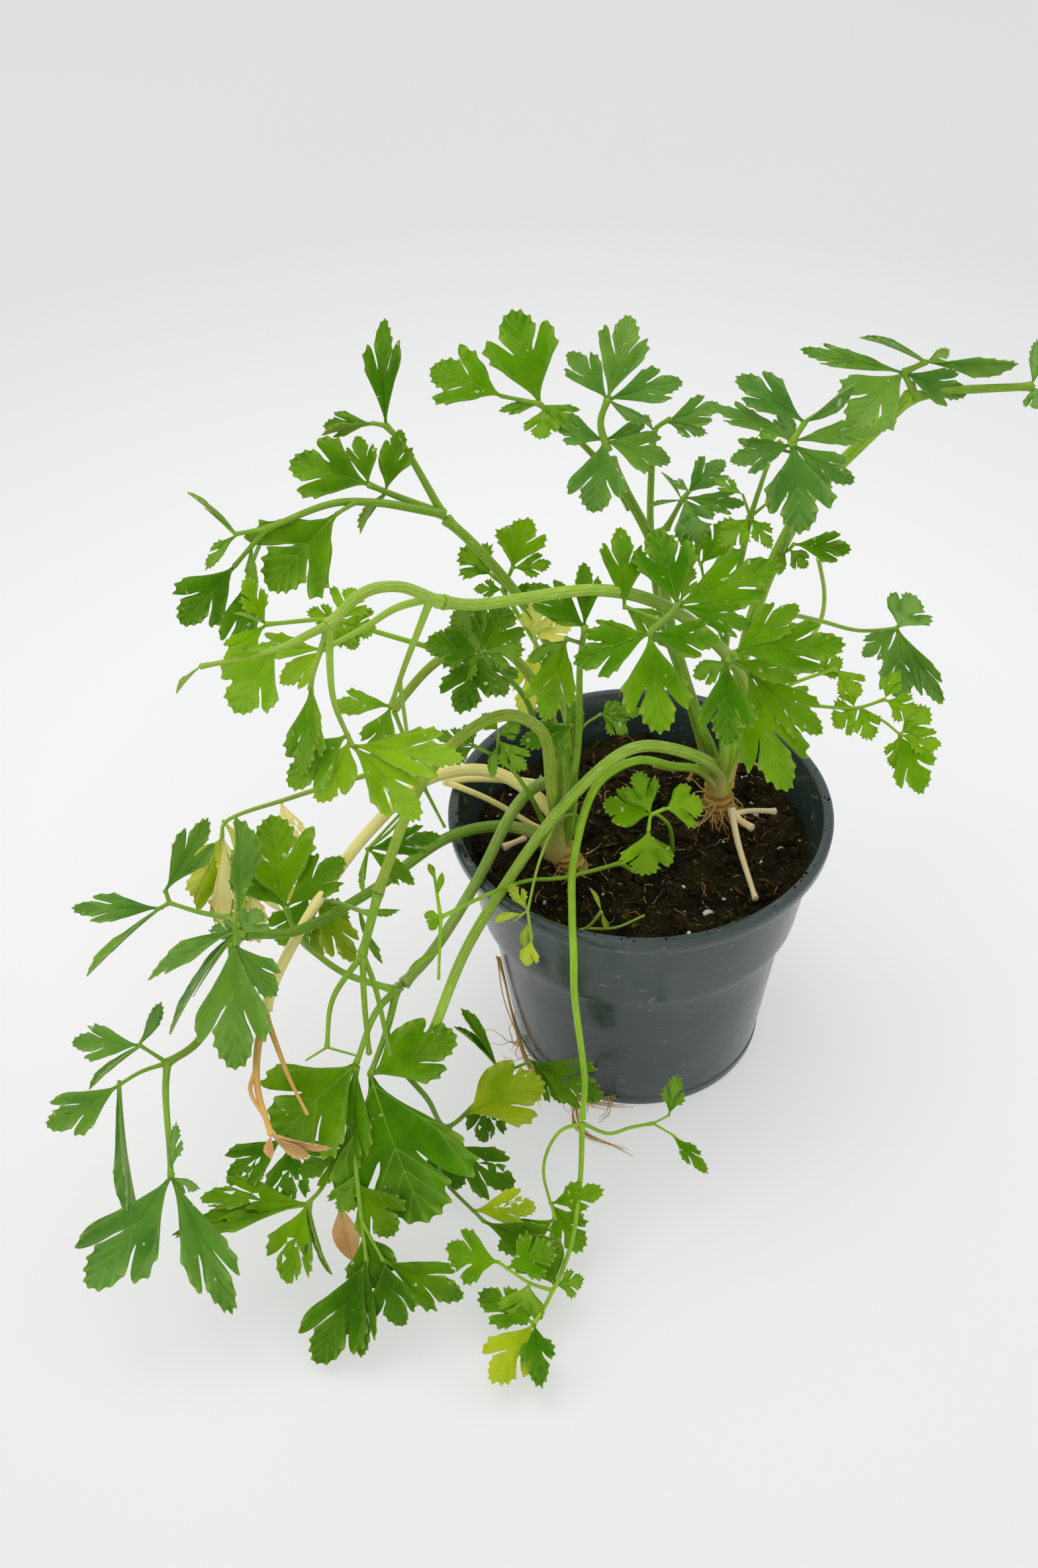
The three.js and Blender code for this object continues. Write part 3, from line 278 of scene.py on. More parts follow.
def skin_material(name, group, inputs, bump, depth, specular=0.5, translucence=0.0, gleam=(1, 1, 1, 1)):
    """A material whose colour, roughness and relief come from one of the shared groups."""
    material, tree, shader = blank_material(name)
    surface = put(tree, "ShaderNodeGroup", node_tree=GROUPS[group])
    for label, value in inputs.items():
        surface.inputs[label].default_value = value
    color, roughness, height = (surface.outputs[label] for label, _ in SURFACE)
    dress(tree, shader, color, roughness, height, bump, depth)
    shader.inputs["Specular IOR Level"].default_value = specular
    shader.inputs["Specular Tint"].default_value = gleam
    if translucence:
        let_light_in(shader, translucence, (0.6, 1.0, 0.15), 0.0012)
    return material


def leaf_material(
    name, blade, deep, vein, underside, tip, sheen=0.42, specks=0.5, gloss=0.22, gleam=(0.85, 1, 0.2, 1)
):
    inputs = {"Blade": rgb(*blade), "Deep": rgb(*deep), "Vein": rgb(*vein), "Underside": rgb(*underside)}
    inputs |= {"Tip": rgb(*tip), "Sheen": sheen, "Specks": specks}
    return skin_material(name, "leaf", inputs, 0.35, 0.0003, gloss, 0.1, gleam)


def stalk_material(name, body, groove, streak, sheen=0.36):
    inputs = {"Body": rgb(*body), "Groove": rgb(*groove), "Streak": rgb(*streak), "Sheen": sheen}
    return skin_material(name, "stalk", inputs, 0.3, 0.0003, 0.4, 0.1, (0.95, 1.0, 0.5, 1))


def earth_material(name, body, patch, speck, specks, bump=0.8, depth=0.0008):
    inputs = {"Body": rgb(*body), "Patch": rgb(*patch), "Speck": rgb(*speck), "Specks": specks}
    return skin_material(name, "earth", inputs, bump, depth, 0.1)


def pot_plastic():
    """Blue-grey moulded plastic: fine satin grain, pale scuffs, dried soil splashes mostly near the rim."""
    material, tree, shader = blank_material("blue-grey pot plastic")
    place = place_of(tree)
    _, _, up = put(tree, "ShaderNodeSeparateXYZ", {0: place}).outputs
    skin = blend(tree, fade(tree, grain(tree, place, 22, 3), 0.35, 0.7), rgb(44, 56, 54), rgb(56, 69, 66))
    flat = put(tree, "ShaderNodeMapping", {0: place, 3: (1, 1, 9)}).outputs[0]
    scuff = fade(tree, grain(tree, flat, 60, 5), 0.6, 0.74)
    skin = overlay(tree, skin, scuff, 0.18, rgb(122, 134, 134))
    near_rim = fade(tree, up, 0.05, 0.094, 0.0, 0.035)
    splash = fade(tree, calc(tree, "ADD", grain(tree, place, 260, 3), near_rim), 0.69, 0.72)
    skin = overlay(tree, skin, splash, 0.75, rgb(120, 104, 80))
    satin = fade(tree, grain(tree, place, 300, 2), 0.3, 0.7, 0.15, 0.26)
    rough = calc(tree, "ADD", calc(tree, "MULTIPLY", splash, 0.4), satin)
    height = calc(tree, "ADD", grain(tree, place, 1800, 2), calc(tree, "MULTIPLY", splash, 1.5))
    dress(tree, shader, skin, rough, height, 0.07, 0.0002)
    return material


def crown_skin():
    """Old root collar: olive-yellow skin ringed with brown leaf scars, papery flecks, a waxy shine."""
    rings_up = 2900.0  # radians of the ring pattern in a metre of height
    material, tree, shader = blank_material("crown skin")
    place = place_of(tree)
    _, _, up = put(tree, "ShaderNodeSeparateXYZ", {0: place}).outputs
    drift = calc(tree, "MULTIPLY", grain(tree, place, 160, 2), 3.0)
    ring = calc(tree, "SINE", calc(tree, "ADD", calc(tree, "MULTIPLY", up, rings_up), drift))
    skin = blend(tree, fade(tree, grain(tree, place, 130, 3), 0.35, 0.65), rgb(186, 162, 70),
    rgb(184, 134, 50))
    skin = blend(tree, fade(tree, ring, 0.1, 0.9, 0.0, 0.6), skin, rgb(120, 84, 30))
    skin = blend(tree, fade(tree, grain(tree, place, 420, 3), 0.6, 0.7, 0.0, 0.6), skin, rgb(226, 196, 130))
    dress(tree, shader, skin, fade(tree, ring, -1, 1, 0.4, 0.62), ring, 0.6, 0.0004)
    let_light_in(shader, 0.15, (1.0, 0.6, 0.3), 0.0015)
    return material


def floor_paper():
    """Seamless white paper, a little uneven, with a painted glow of its own, strongest round the pot and less
    towards its edges.
    """
    material, tree, shader = blank_material("white paper")
    place = place_of(tree)
    uneven = fade(tree, grain(tree, place, 1.6, 2), 0.3, 0.7)
    sheet = blend(tree, uneven, (0.50, 0.50, 0.502, 1), (0.52, 0.52, 0.52, 1))
    # Painted glow: the paper gives off light of its own round this centre, which lifts the shade by the pot
    # and fades towards the edges.
    centre = (-0.02, 0.1, 0)
    away = put(tree, "ShaderNodeVectorMath", {0: place, 1: centre}, operation="DISTANCE").outputs["Value"]
    painted_glow = fade(tree, away, 0.2, 0.5, 0.37, 0.21)
    tree.links.new(sheet, shader.inputs["Base Color"])
    tree.links.new(blend(tree, painted_glow, (0, 0, 0, 1), (1, 1, 1, 1)), shader.inputs["Emission Color"])
    shader.inputs["Emission Strength"].default_value = 1.0
    shader.inputs["Roughness"].default_value = 0.7
    shader.inputs["Specular IOR Level"].default_value = 0.2
    return material


PALE_VEIN = (146, 178, 70)
PALE_TIP = (170, 190, 80)
LEAVES = {
    "mid": leaf_material("mid green leaf", (86, 137, 0), (58, 108, 0), PALE_VEIN, (118, 150, 60), PALE_TIP),
    "dark": leaf_material(
        "dark green leaf", (72, 120, 0), (46, 92, 0), (126, 162, 62), (108, 142, 56), PALE_TIP, 0.45
    ),
    "green2": leaf_material("fresh green leaf", (92, 144, 2), (64, 118, 0), PALE_VEIN, (120, 154, 64),
    PALE_TIP),
    "blue": leaf_material(
        "bluish green leaf", (94, 141, 32), (66, 117, 12), (150, 184, 100), (128, 158, 88),
        PALE_TIP, 0.36, 0.5,
        0.3, (0.85, 1, 0.7, 1)
    ),
    "light": leaf_material(
        "light green leaf", (118, 164, 22), (92, 140, 8), (176, 200, 96), (146, 176, 84), PALE_TIP
    ),
    "young": leaf_material(
        "young green leaf", (102, 154, 0), (76, 128, 0), (156, 188, 54), (130, 164, 58), (204, 212, 120),
        0.44, 0.8
    ),
    "yellow": leaf_material(
        "yellowing leaf", (206, 206, 76), (166, 184, 46), (224, 224, 140), (208, 208, 116), (222, 170, 90),
        0.5, 1.0
    ),
    "yellow2": leaf_material(
        "yellow-green leaf", (150, 172, 18), (110, 148, 6), (200, 208, 96), (164, 178, 70),
        (220, 200, 110), 0.5, 1.0
    ),
    "rust": leaf_material(
        "rusty leaf", (242, 238, 164), (238, 216, 140), (240, 224, 150), (240, 228, 160), (224, 96, 66),
        0.55, 0.8
    ),
    "straw": leaf_material(
        "dried leaf", (226, 186, 128), (196, 146, 90), (156, 106, 62), (218, 180, 130), (150, 96, 54),
        0.62, 0.3,
        0.1, (1, 0.9, 0.7, 1)
    ),
}
# Leaves on a stalk of one of these colours
LEAVES |= {"green": LEAVES["mid"], "grey": LEAVES["blue"], "tan": LEAVES["straw"], "cream": LEAVES["straw"]}
STALKS = {
    "green": stalk_material("green petiole", (124, 166, 40), (88, 132, 14), (168, 194, 88)),
    "light": stalk_material("light petiole", (150, 184, 60), (112, 152, 30), (192, 210, 116)),
    "olive": stalk_material("olive petiole", (142, 168, 52), (104, 134, 24), (184, 194, 92)),
    "dark": stalk_material("dark petiole", (104, 146, 34), (70, 112, 14), (146, 174, 72)),
    "grey": stalk_material("grey-green petiole", (134, 166, 66), (100, 136, 34), (178, 196, 116)),
    "cream": stalk_material("cream petiole", (246, 234, 150), (222, 202, 104), (250, 244, 196), 0.4),
    "young": stalk_material("young stalk", (142, 188, 34), (108, 156, 14), (186, 212, 86)),
    "tan": stalk_material("tan petiole", (220, 172, 92), (188, 134, 60), (236, 204, 136), 0.5),
    "straw": stalk_material("dried stub", (242, 220, 172), (212, 180, 124), (248, 236, 204), 0.6),
    "root": stalk_material("root fibre", (200, 160, 92), (156, 112, 54), (228, 200, 136), 0.6),
}
for leaf_tone, stalk_tone in (
    ("mid", "green"), ("green2", "green"), ("blue", "green"), ("rust", "light"), ("yellow", "light"),
    ("yellow2", "light"),
):
    STALKS[leaf_tone] = STALKS[stalk_tone]

# ---- leaflet shapes ----
# Right halves from the stalk to the tip: along the length, across the width, and 1 at the tip of a tooth.

DEEP = (
    (0, 0.014), (0.1, 0.04), (0.2, 0.12), (0.3, 0.22), (0.4, 0.31), (0.5, 0.39), (0.57, 0.48, 1),
    (0.615, 0.445), (0.7, 0.5, 1), (0.715, 0.445), (0.79, 0.45, 1), (0.77, 0.37), (0.68, 0.27),
    (0.57, 0.18), (0.43, 0.07), (0.53, 0.1), (0.62, 0.17), (0.7, 0.26, 1), (0.735, 0.22),
    (0.82, 0.255, 1), (0.83, 0.185), (0.91, 0.19, 1), (0.905, 0.12), (0.97, 0.105, 1), (0.955, 0.05),
)
LOBED = (
    (0, 0.014), (0.1, 0.045), (0.22, 0.14), (0.34, 0.27), (0.44, 0.37), (0.53, 0.49, 1), (0.575, 0.445),
    (0.67, 0.5, 1), (0.685, 0.44), (0.77, 0.44, 1), (0.75, 0.35), (0.66, 0.25), (0.5, 0.115), (0.6, 0.15),
    (0.68, 0.225), (0.765, 0.28, 1), (0.79, 0.22), (0.88, 0.23, 1), (0.885, 0.155), (0.96, 0.13, 1),
    (0.945, 0.06),
)
ROUND = (
    (0, 0.014), (0.1, 0.05), (0.2, 0.2), (0.3, 0.36), (0.42, 0.47), (0.5, 0.5, 1), (0.55, 0.47),
    (0.63, 0.5, 1), (0.67, 0.44), (0.74, 0.44, 1), (0.73, 0.35), (0.66, 0.25), (0.72, 0.24),
    (0.8, 0.31, 1), (0.83, 0.24), (0.91, 0.25, 1), (0.91, 0.16), (0.98, 0.13, 1), (0.955, 0.06),
)
NARROW = (
    (0, 0.014), (0.12, 0.045), (0.28, 0.15), (0.42, 0.24), (0.54, 0.32, 1), (0.58, 0.27), (0.69, 0.32, 1),
    (0.71, 0.24), (0.82, 0.25, 1), (0.83, 0.17), (0.92, 0.16, 1), (0.91, 0.07),
)
FEATHERY = (
    (0, 0.014), (0.13, 0.03), (0.24, 0.14), (0.3, 0.28), (0.34, 0.42, 1), (0.39, 0.36), (0.45, 0.5, 1),
    (0.5, 0.42), (0.58, 0.49, 1), (0.59, 0.4), (0.66, 0.4, 1), (0.58, 0.26), (0.44, 0.1), (0.56, 0.14),
    (0.66, 0.24), (0.73, 0.32, 1), (0.76, 0.24), (0.84, 0.27, 1), (0.84, 0.17), (0.93, 0.16, 1),
    (0.9, 0.06),
)
WHOLE = (
    (0, 0.014), (0.12, 0.06), (0.3, 0.3), (0.48, 0.5), (0.66, 0.46), (0.84, 0.3), (0.95, 0.12),
)
SMALL_LEAFLET = 15  # a shorter one has a coarser and thinner blade
LEAF_THICKNESS = 0.32


def side_veins(half):
    """The main vein of the side lobe, and a branch to every tooth, as [start, end] pairs."""
    tips = [p[:2] for p in half if len(p) > 2]
    lobe = [p for p in tips if p[1] > 0.36 and p[0] < 0.78]
    veins = []
    if lobe:
        end = np.array(lobe[len(lobe) // 2])
        start = np.array((0.06, 0.0))
        veins.append((start, end * (0.97, 0.97)))
        for tip in lobe:
            if tip != tuple(end):
                fork = start + (end - start) * (0.45 if tip[0] < end[0] else 0.62)
                veins.append((fork, np.array(tip) * 0.96))
    for tip in tips:
        if tip not in lobe:
            veins.append((np.array((tip[0] - 0.6 * tip[1] - 0.12, 0)), np.array(tip) * (0.985, 0.9)))
    return veins


def to_segment(points, start, end):
    """Distances from points to a straight line between two points."""
    run = end - start
    t = np.clip(((points - start) @ run) / (run @ run), 0, 1)
    return np.linalg.norm(points - start - t[:, None] * run, axis=1)


def rounded(outline):
    """Cuts each corner, so that the teeth are blunt and the bays between them are round."""
    smooth = []
    for i, (x, y, tip) in enumerate(outline):
        before, after = outline[i - 1], outline[(i + 1) % len(outline)]
        cut = 0.16 if tip else 0.25
        smooth.append((x + (before[0] - x) * cut, y + (before[1] - y) * cut, tip))
        smooth.append((x + (after[0] - x) * cut, y + (after[1] - y) * cut, tip))
    return smooth


class LeafletShape:
    """A flat leaflet of length and width 1, cut into triangles that follow its veins."""

    def __init__(self, right, left, fine, holes=0, seed=1):
        dice = random.Random(seed)
        sides = [[(*p[:2], len(p) > 2) for p in half] for half in (right, left)]
        outline = sides[0] + [(1, 0, True)] + [(x, -y, tip) for x, y, tip in reversed(sides[1])]
        outline = [
            (x + dice.uniform(-0.012, 0.012) * (x > 0.1), y * dice.uniform(0.93, 1.05), tip)
            for x, y, tip in outline
        ]
        if fine:
            outline = rounded(outline)
        veins = [(np.array((0.0, 0.0)), np.array((0.97, 0.0)))]
        for side, half in ((1, right), (-1, left)):
            veins += [(a * (1, side), b * (1, side)) for a, b in side_veins(half)]
        points = [Vector(p[:2]) for p in outline]
        edges = [(i, (i + 1) % len(points)) for i in range(len(points))]
        self.add_veins(veins, points, edges, fine)
        rim = np.array([p[:2] for p in outline])
        self.add_flesh(rim, veins, points, 0.085 if fine else 0.19, dice)
        verts, _, faces, _, _, _ = delaunay_2d_cdt(points, edges, [list(range(len(outline)))], 1, 1e-5)
        self.flat = np.array([tuple(v) for v in verts])
        self.faces = [tuple(f) for f in faces]
        self.pierce(holes, dice)
        near = np.min([to_segment(self.flat, a, b) for a, b in veins], axis=0)
        tips = np.array([p[:2] for p in outline if p[2]])
        to_tip = np.min(np.linalg.norm(self.flat[:, None] - tips[None], axis=2), axis=1)
        self.vein = np.clip(1 - near / 0.009, 0, 1)
        self.tip = np.clip(1 - to_tip / 0.03, 0, 1)
        self.puff = np.clip(near / 0.06, 0, 1)
        self.rim = self.open_edges()

    def add_veins(self, veins, points, edges, fine):
        for rank, (a, b) in enumerate(veins):
            steps = max(2, round(np.linalg.norm(b - a) / (0.11 if fine else 0.3)))
            run = (b - a) / np.linalg.norm(b - a)
            flank = np.array((-run[1], run[0])) * (0.012 if rank == 0 else 0.009)
            for offset in ((-1, 0, 1) if fine else (0,)):
                first = len(points)
                for k in range(steps + 1):
                    spread = offset * (1 - 0.6 * k / steps)
                    points.append(Vector(a + (b - a) * (k / steps) + flank * spread))
                edges += [(first + k, first + k + 1) for k in range(steps)]

    def add_flesh(self, rim, veins, points, pitch, dice):
        """Loose points between the veins, so that the blade can bend and swell."""
        for row in range(int(1 / pitch)):
            for column in range(int(1 / pitch)):
                x = (row + 0.5 + dice.uniform(-0.25, 0.25)) * pitch
                y = (column + 0.5 + dice.uniform(-0.25, 0.25)) * pitch - 0.5
                spot = np.array([(x, y)])
                edge = min(to_segment(spot, rim[i - 1], rim[i])[0] for i in range(len(rim)))
                vein = min(to_segment(spot, a, b)[0] for a, b in veins)
                crossings = sum(
                    (p[1] > y) != (q[1] > y) and x < (q[0] - p[0]) * (y - p[1]) / (q[1] - p[1]) + p[0]
                    for p, q in zip(rim, np.roll(rim, -1, axis=0))
                )
                if crossings % 2 and edge > 0.03 and vein > 0.03:
                    points.append(Vector((x, y)))

    def pierce(self, holes, dice):
        """Insect holes: clusters of triangles that are missing."""
        centres = np.array([self.flat[list(f)].mean(axis=0) for f in self.faces])
        for _ in range(holes):
            eaten = np.array((dice.uniform(0.45, 0.85), dice.uniform(-0.3, 0.3)))
            size = dice.uniform(0.03, 0.06)
            keep = np.linalg.norm((centres - eaten) * (1, 1.6), axis=1) > size
            self.faces = [f for f, k in zip(self.faces, keep) if k]
            centres = centres[keep]

    def open_edges(self):
        used = {}
        for face in self.faces:
            for a, b in zip(face, face[1:] + face[:1]):
                used[(a, b)] = True
        return [(a, b) for a, b in used if (b, a) not in used]


def shapes_of(fine, first_seed, kinds):
    """Some shapes of every kind, each made of a right half, a left half and sometimes a number of holes."""
    seeds = itertools.count(first_seed)
    return {
        kind: [LeafletShape(right, left, fine, *holes, seed=next(seeds)) for right, left, *holes in rows]
        for kind, rows in kinds.items()
    }


FINE_SHAPES = shapes_of(True, 1, {
    "tri": [(DEEP, LOBED), (LOBED, DEEP), (DEEP, DEEP), (LOBED, LOBED)],
    "bi": [(DEEP, NARROW), (NARROW, DEEP)],
    "fan": [(ROUND, LOBED), (LOBED, ROUND)],
    "slim": [(NARROW, NARROW), (LOBED, NARROW)],
    "feathery": [(FEATHERY, FEATHERY), (FEATHERY, DEEP)],
    "eaten": [(LOBED, DEEP, 6), (DEEP, LOBED, 8)],
    "dried": [(WHOLE, WHOLE)],
    "broad": [(LOBED, LOBED)],
})
SMALL_SHAPES = shapes_of(False, 21, {
    "tri": [(DEEP, LOBED), (FEATHERY, DEEP)],
    "bi": [(LOBED, NARROW), (NARROW, FEATHERY)],
    "fan": [(ROUND, LOBED)],
    "slim": [(NARROW, NARROW)],
    "feathery": [(FEATHERY, FEATHERY), (DEEP, FEATHERY)],
    "dried": [(WHOLE, WHOLE)],
})
SMALL_SHAPES["eaten"] = SMALL_SHAPES["feathery"]

# ---- growing surfaces ----


class Growth:
    """Collects the parts of one piece, then makes one mesh of them."""

    def __init__(self):
        self.verts, self.faces, self.skins, self.maps, self.marks, self.tints = [], [], [], [], [], []
        self.count = 0

    def add(self, verts, faces, skin, growth, marks=None, tint=0.5):
        base = self.count
        self.verts.append(np.asarray(verts, float))
        self.faces += [tuple(base + i for i in face) for face in faces]
        self.skins += [skin] * len(faces)
        self.maps.append(np.asarray(growth, float))
        self.marks.append(np.zeros((len(verts), 4)) if marks is None else marks)
        self.tints.append(np.full(len(verts), tint))
        self.count += len(verts)

    def piece(self, name, materials, slot, *nodes):
        mesh = bpy.data.meshes.new(name)
        mesh.from_pydata((np.concatenate(self.verts) * MM).tolist(), [], self.faces)
        for material in materials:
            mesh.materials.append(material)
        mesh.polygons.foreach_set("material_index", self.skins)
        corners = np.zeros(len(mesh.loops), int)
        mesh.loops.foreach_get("vertex_index", corners)
        growth = mesh.uv_layers.new(name="growth")
        growth.data.foreach_set("uv", np.concatenate(self.maps)[corners].ravel())
        marks = mesh.attributes.new("marks", "FLOAT_COLOR", "POINT")
        marks.data.foreach_set("color", np.concatenate(self.marks).ravel())
        tints = mesh.attributes.new("tint", "FLOAT", "POINT")
        tints.data.foreach_set("value", np.concatenate(self.tints))
        mesh.validate()
        piece = bpy.data.objects.new(name, mesh)
        bpy.context.collection.objects.link(piece)
        smooth_shade(piece, 48)
        finish_piece(piece, slot, *nodes)


def smooth_shade(piece, degrees):
    """Shades the piece smooth, with an edge kept wherever it turns by more than this."""
    bpy.ops.object.select_all(action="DESELECT")
    piece.select_set(True)
    bpy.context.view_layer.objects.active = piece
    bpy.ops.object.shade_smooth_by_angle(angle=math.radians(degrees))
    piece.select_set(False)


def finish_piece(piece, slot, *nodes):
    """The piece belongs to the one body, and may stand for nodes of the part, which it hides. Its slot is not
    used.
    """
    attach(piece, "root")
    if nodes:
        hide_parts(*nodes)


def smooth_line(points, pitch=2.2):
    """A centripetal Catmull-Rom line through the points, as evenly spaced points."""
    route = [np.array(p, float) for p in points]
    if len(route) == 2:
        dense = np.array([route[0] + (route[1] - route[0]) * t for t in np.linspace(0, 1, 9)])
    else:
        ends = [2 * route[0] - route[1], *route, 2 * route[-1] - route[-2]]
        dense = []
        for p0, p1, p2, p3 in zip(ends, ends[1:], ends[2:], ends[3:]):
            k0, k1, k2 = (max(np.linalg.norm(b - a), 1e-4) ** 0.5 for a, b in ((p0, p1), (p1, p2), (p2, p3)))
            m1 = (p1 - p0) / k0 - (p2 - p0) / (k0 + k1) + (p2 - p1) / k1
            m2 = (p2 - p1) / k1 - (p3 - p1) / (k1 + k2) + (p3 - p2) / k2
            for t in np.linspace(0, 1, 16, endpoint=False):
                a, b = t * t, t * t * t
                leaving = p1 * (2 * b - 3 * a + 1) + m1 * k1 * (b - 2 * a + t)
                dense.append(leaving + p2 * (3 * a - 2 * b) + m2 * k1 * (b - a))
        dense = np.array(dense + [route[-1]])
    reach = np.r_[0, np.cumsum(np.linalg.norm(np.diff(dense, axis=0), axis=1))]
    stops = np.linspace(0, reach[-1], max(4, round(reach[-1] / pitch) + 1))
    return np.stack([np.interp(stops, reach, dense[:, k]) for k in range(3)], axis=1)


def tube(growth, line, radii, skin, sides=12, ribbed=0.06, tint=0.5, foot=None):
    """A closed round stalk along a line. Every other side stands a little lower, as a rib's groove."""
    count = len(line)
    runs = np.gradient(line, axis=0)
    runs /= np.linalg.norm(runs, axis=1)[:, None]
    spoke = np.cross(runs[0], (0.3, 0.2, 1.0))
    verts, maps = [], []
    turn = np.arange(sides) / sides * math.tau
    ridge = 1 - ribbed * (np.arange(sides) % 2)
    reach = np.r_[0, np.cumsum(np.linalg.norm(np.diff(line, axis=0), axis=1))]
    for i in range(count):
        spoke = spoke - runs[i] * (spoke @ runs[i])
        spoke /= np.linalg.norm(spoke)
        other = np.cross(runs[i], spoke)
        ring = np.cos(turn)[:, None] * spoke + np.sin(turn)[:, None] * other
        verts.append(line[i] + ring * (radii[i] * ridge)[:, None])
        maps.append(np.stack([np.full(sides, reach[i]), np.arange(sides) / sides], axis=1))
    ends = [line[:1] - runs[:1] * radii[0] * 0.3, line[-1:] + runs[-1:] * radii[-1] * 0.6]
    verts = np.concatenate(verts + ends)
    maps = np.concatenate(maps + [[(0, 0.5), (reach[-1], 0.5)]])
    faces = []
    for i in range(count - 1):
        for k in range(sides):
            a, b = i * sides + k, i * sides + (k + 1) % sides
            faces.append((a, b, b + sides, a + sides))
    for k in range(sides):
        faces.append((count * sides, (k + 1) % sides, k))
        last = (count - 1) * sides
        faces.append((count * sides + 1, last + k, last + (k + 1) % sides))
    marks = None if foot is None else np.concatenate([np.repeat(foot, sides, axis=0), foot[:1], foot[-1:]])
    growth.add(verts, faces, skin, maps, marks, tint)


def stalk(growth, line, r0, r1, skin, dice, sheath=0.0):
    """A tapering stalk with swollen ends. A sheath widens its foot where it clasps the crown."""
    reach = np.r_[0, np.cumsum(np.linalg.norm(np.diff(line, axis=0), axis=1))]
    radii = r0 + (r1 - r0) * reach / reach[-1]
    knot = 0.3 * np.exp(-((reach / 1.6) ** 2)) + 0.38 * np.exp(-(((reach[-1] - reach) / 1.7) ** 2))
    radii = radii * (1 + knot * (r0 > 0.5)) + sheath * np.exp(-((reach / 9) ** 2))
    sides = 16 if r0 > 1.45 else 10 if r0 > 0.75 else 8
    foot = np.zeros((len(line), 4))
    if sheath:
        foot[:, 0] = np.exp(-((reach / 13) ** 2))
        foot[:, 1] = np.exp(-((reach / 5) ** 2))
    tube(growth, line, radii, skin, sides, 0.04 if r0 > 0.75 else 0.02, dice.random(), foot)


def strands(growth, line, skin, dice):
    """A bunch of fine root strands that keep roughly to one line."""
    reach = np.linspace(0, 1, len(line))[:, None]
    for _ in range(9):
        beat = np.array([[dice.uniform(3, 9) for _ in range(3)]])
        phase = np.array([[dice.uniform(0, math.tau) for _ in range(3)]])
        stray = line + np.sin(reach * beat + phase) * (0.9, 0.9, 0.5)
        stray[:, 2] = np.maximum(stray[:, 2], 0.3)
        last = max(4, round(len(line) * dice.uniform(0.55, 1)))
        tube(growth, stray[:last], np.linspace(dice.uniform(0.2, 0.38), 0.1, last), skin, 5, 0, dice.random())


def leaflet_axes(bearing, lift, turn):
    """Directions along a leaflet, across it, and out of its face, which looks to the light."""
    a, e, t = math.radians(bearing), math.radians(lift), math.radians(turn)
    along = np.array((math.cos(e) * math.cos(a), math.cos(e) * math.sin(a), math.sin(e)))
    face = LIGHT_SIDE - along * (LIGHT_SIDE @ along)
    face /= np.linalg.norm(face)
    face = face * math.cos(t) + np.cross(along, face) * math.sin(t)
    return along, np.cross(face, along), face


def point_normals(spread, faces):
    """The direction out of a bent blade at each of its points."""
    tris = np.array([f for f in faces if len(f) == 3])
    facing = np.cross(spread[tris[:, 1]] - spread[tris[:, 0]], spread[tris[:, 2]] - spread[tris[:, 0]])
    normals = np.zeros_like(spread)
    for k in range(3):
        np.add.at(normals, tris[:, k], facing)
    return normals / (np.linalg.norm(normals, axis=1)[:, None] + 1e-12)


def leaflet(growth, base, bearing, lift, length, width, kind, turn, dice, skins):
    """One leaflet on its stalk: bent, folded along its midrib, swollen between its veins, then thickened."""
    if kind == "slim":
        width = width * 1.7
        turn = turn + dice.choice((24, 34))
    shapes = (FINE_SHAPES if length >= SMALL_LEAFLET else SMALL_SHAPES)[kind]
    shape = dice.choice(shapes)
    u, v = shape.flat[:, 0], shape.flat[:, 1]
    fold = dice.uniform(0.02, 0.16) + (0.2 if kind == "slim" else 0)
    cup = dice.uniform(0.1, 0.34)
    sag = dice.uniform(0.04, 0.17)
    wave = dice.uniform(0.02, 0.06) * width
    beat, phase = dice.uniform(6, 11), dice.uniform(0, math.tau)
    swerve = dice.uniform(-0.07, 0.07)
    twist = dice.uniform(-0.35, 0.35) * np.clip(u, 0, 1)
    x = u * length
    y = v * width + swerve * length * u * u
    z = width * (fold * np.abs(v) + cup * v * v) - sag * length * u * u
    z += wave * np.abs(v) * 2 * np.sin(beat * u + phase + 2.0 * np.sign(v))
    z += shape.puff * 0.014 * length
    z += 0.02 * length * np.sin(9 * v + phase) * u
    y, z = y * np.cos(twist) - z * np.sin(twist), y * np.sin(twist) + z * np.cos(twist)
    along, across, face = leaflet_axes(bearing, lift, turn)
    spread = base + x[:, None] * along + y[:, None] * across + z[:, None] * face
    spread[:, 2] = np.maximum(spread[:, 2], 0.6)
    normals = point_normals(spread, shape.faces)
    half = LEAF_THICKNESS / 2 if length >= SMALL_LEAFLET else LEAF_THICKNESS / 3
    n = len(spread)
    verts = np.concatenate([spread + normals * half, spread - normals * half])
    faces = list(shape.faces) + [tuple(n + i for i in reversed(f)) for f in shape.faces]
    faces += [(b, a, a + n, b + n) for a, b in shape.rim]
    marks = np.zeros((2 * n, 4))
    marks[:, 0] = np.tile(shape.vein, 2)
    marks[:, 1] = np.tile(shape.tip, 2)
    marks[n:, 2] = 1
    marks[:, 3] = 1
    growth.add(verts, faces, skins[0], np.tile(shape.flat, (2, 1)), marks, dice.random())
    if length >= 11:
        rib = spread_line(base, along, across, face, length, sag, swerve, half)
        radius = 0.028 * width + 0.22
        tube(growth, rib, np.linspace(min(radius, 0.62), 0.12, len(rib)), skins[1], 5, 0, dice.random())


def spread_line(base, along, across, face, length, sag, swerve, half):
    """The midrib under the blade, and the short stalk before it."""
    u = np.linspace(-0.03, 0.62, 7)
    drop = -sag * length * u * u - half - 0.12
    level = (u * length)[:, None] * along + (swerve * length * u * u)[:, None] * across
    return base + level + drop[:, None] * face


# ---- plant ----

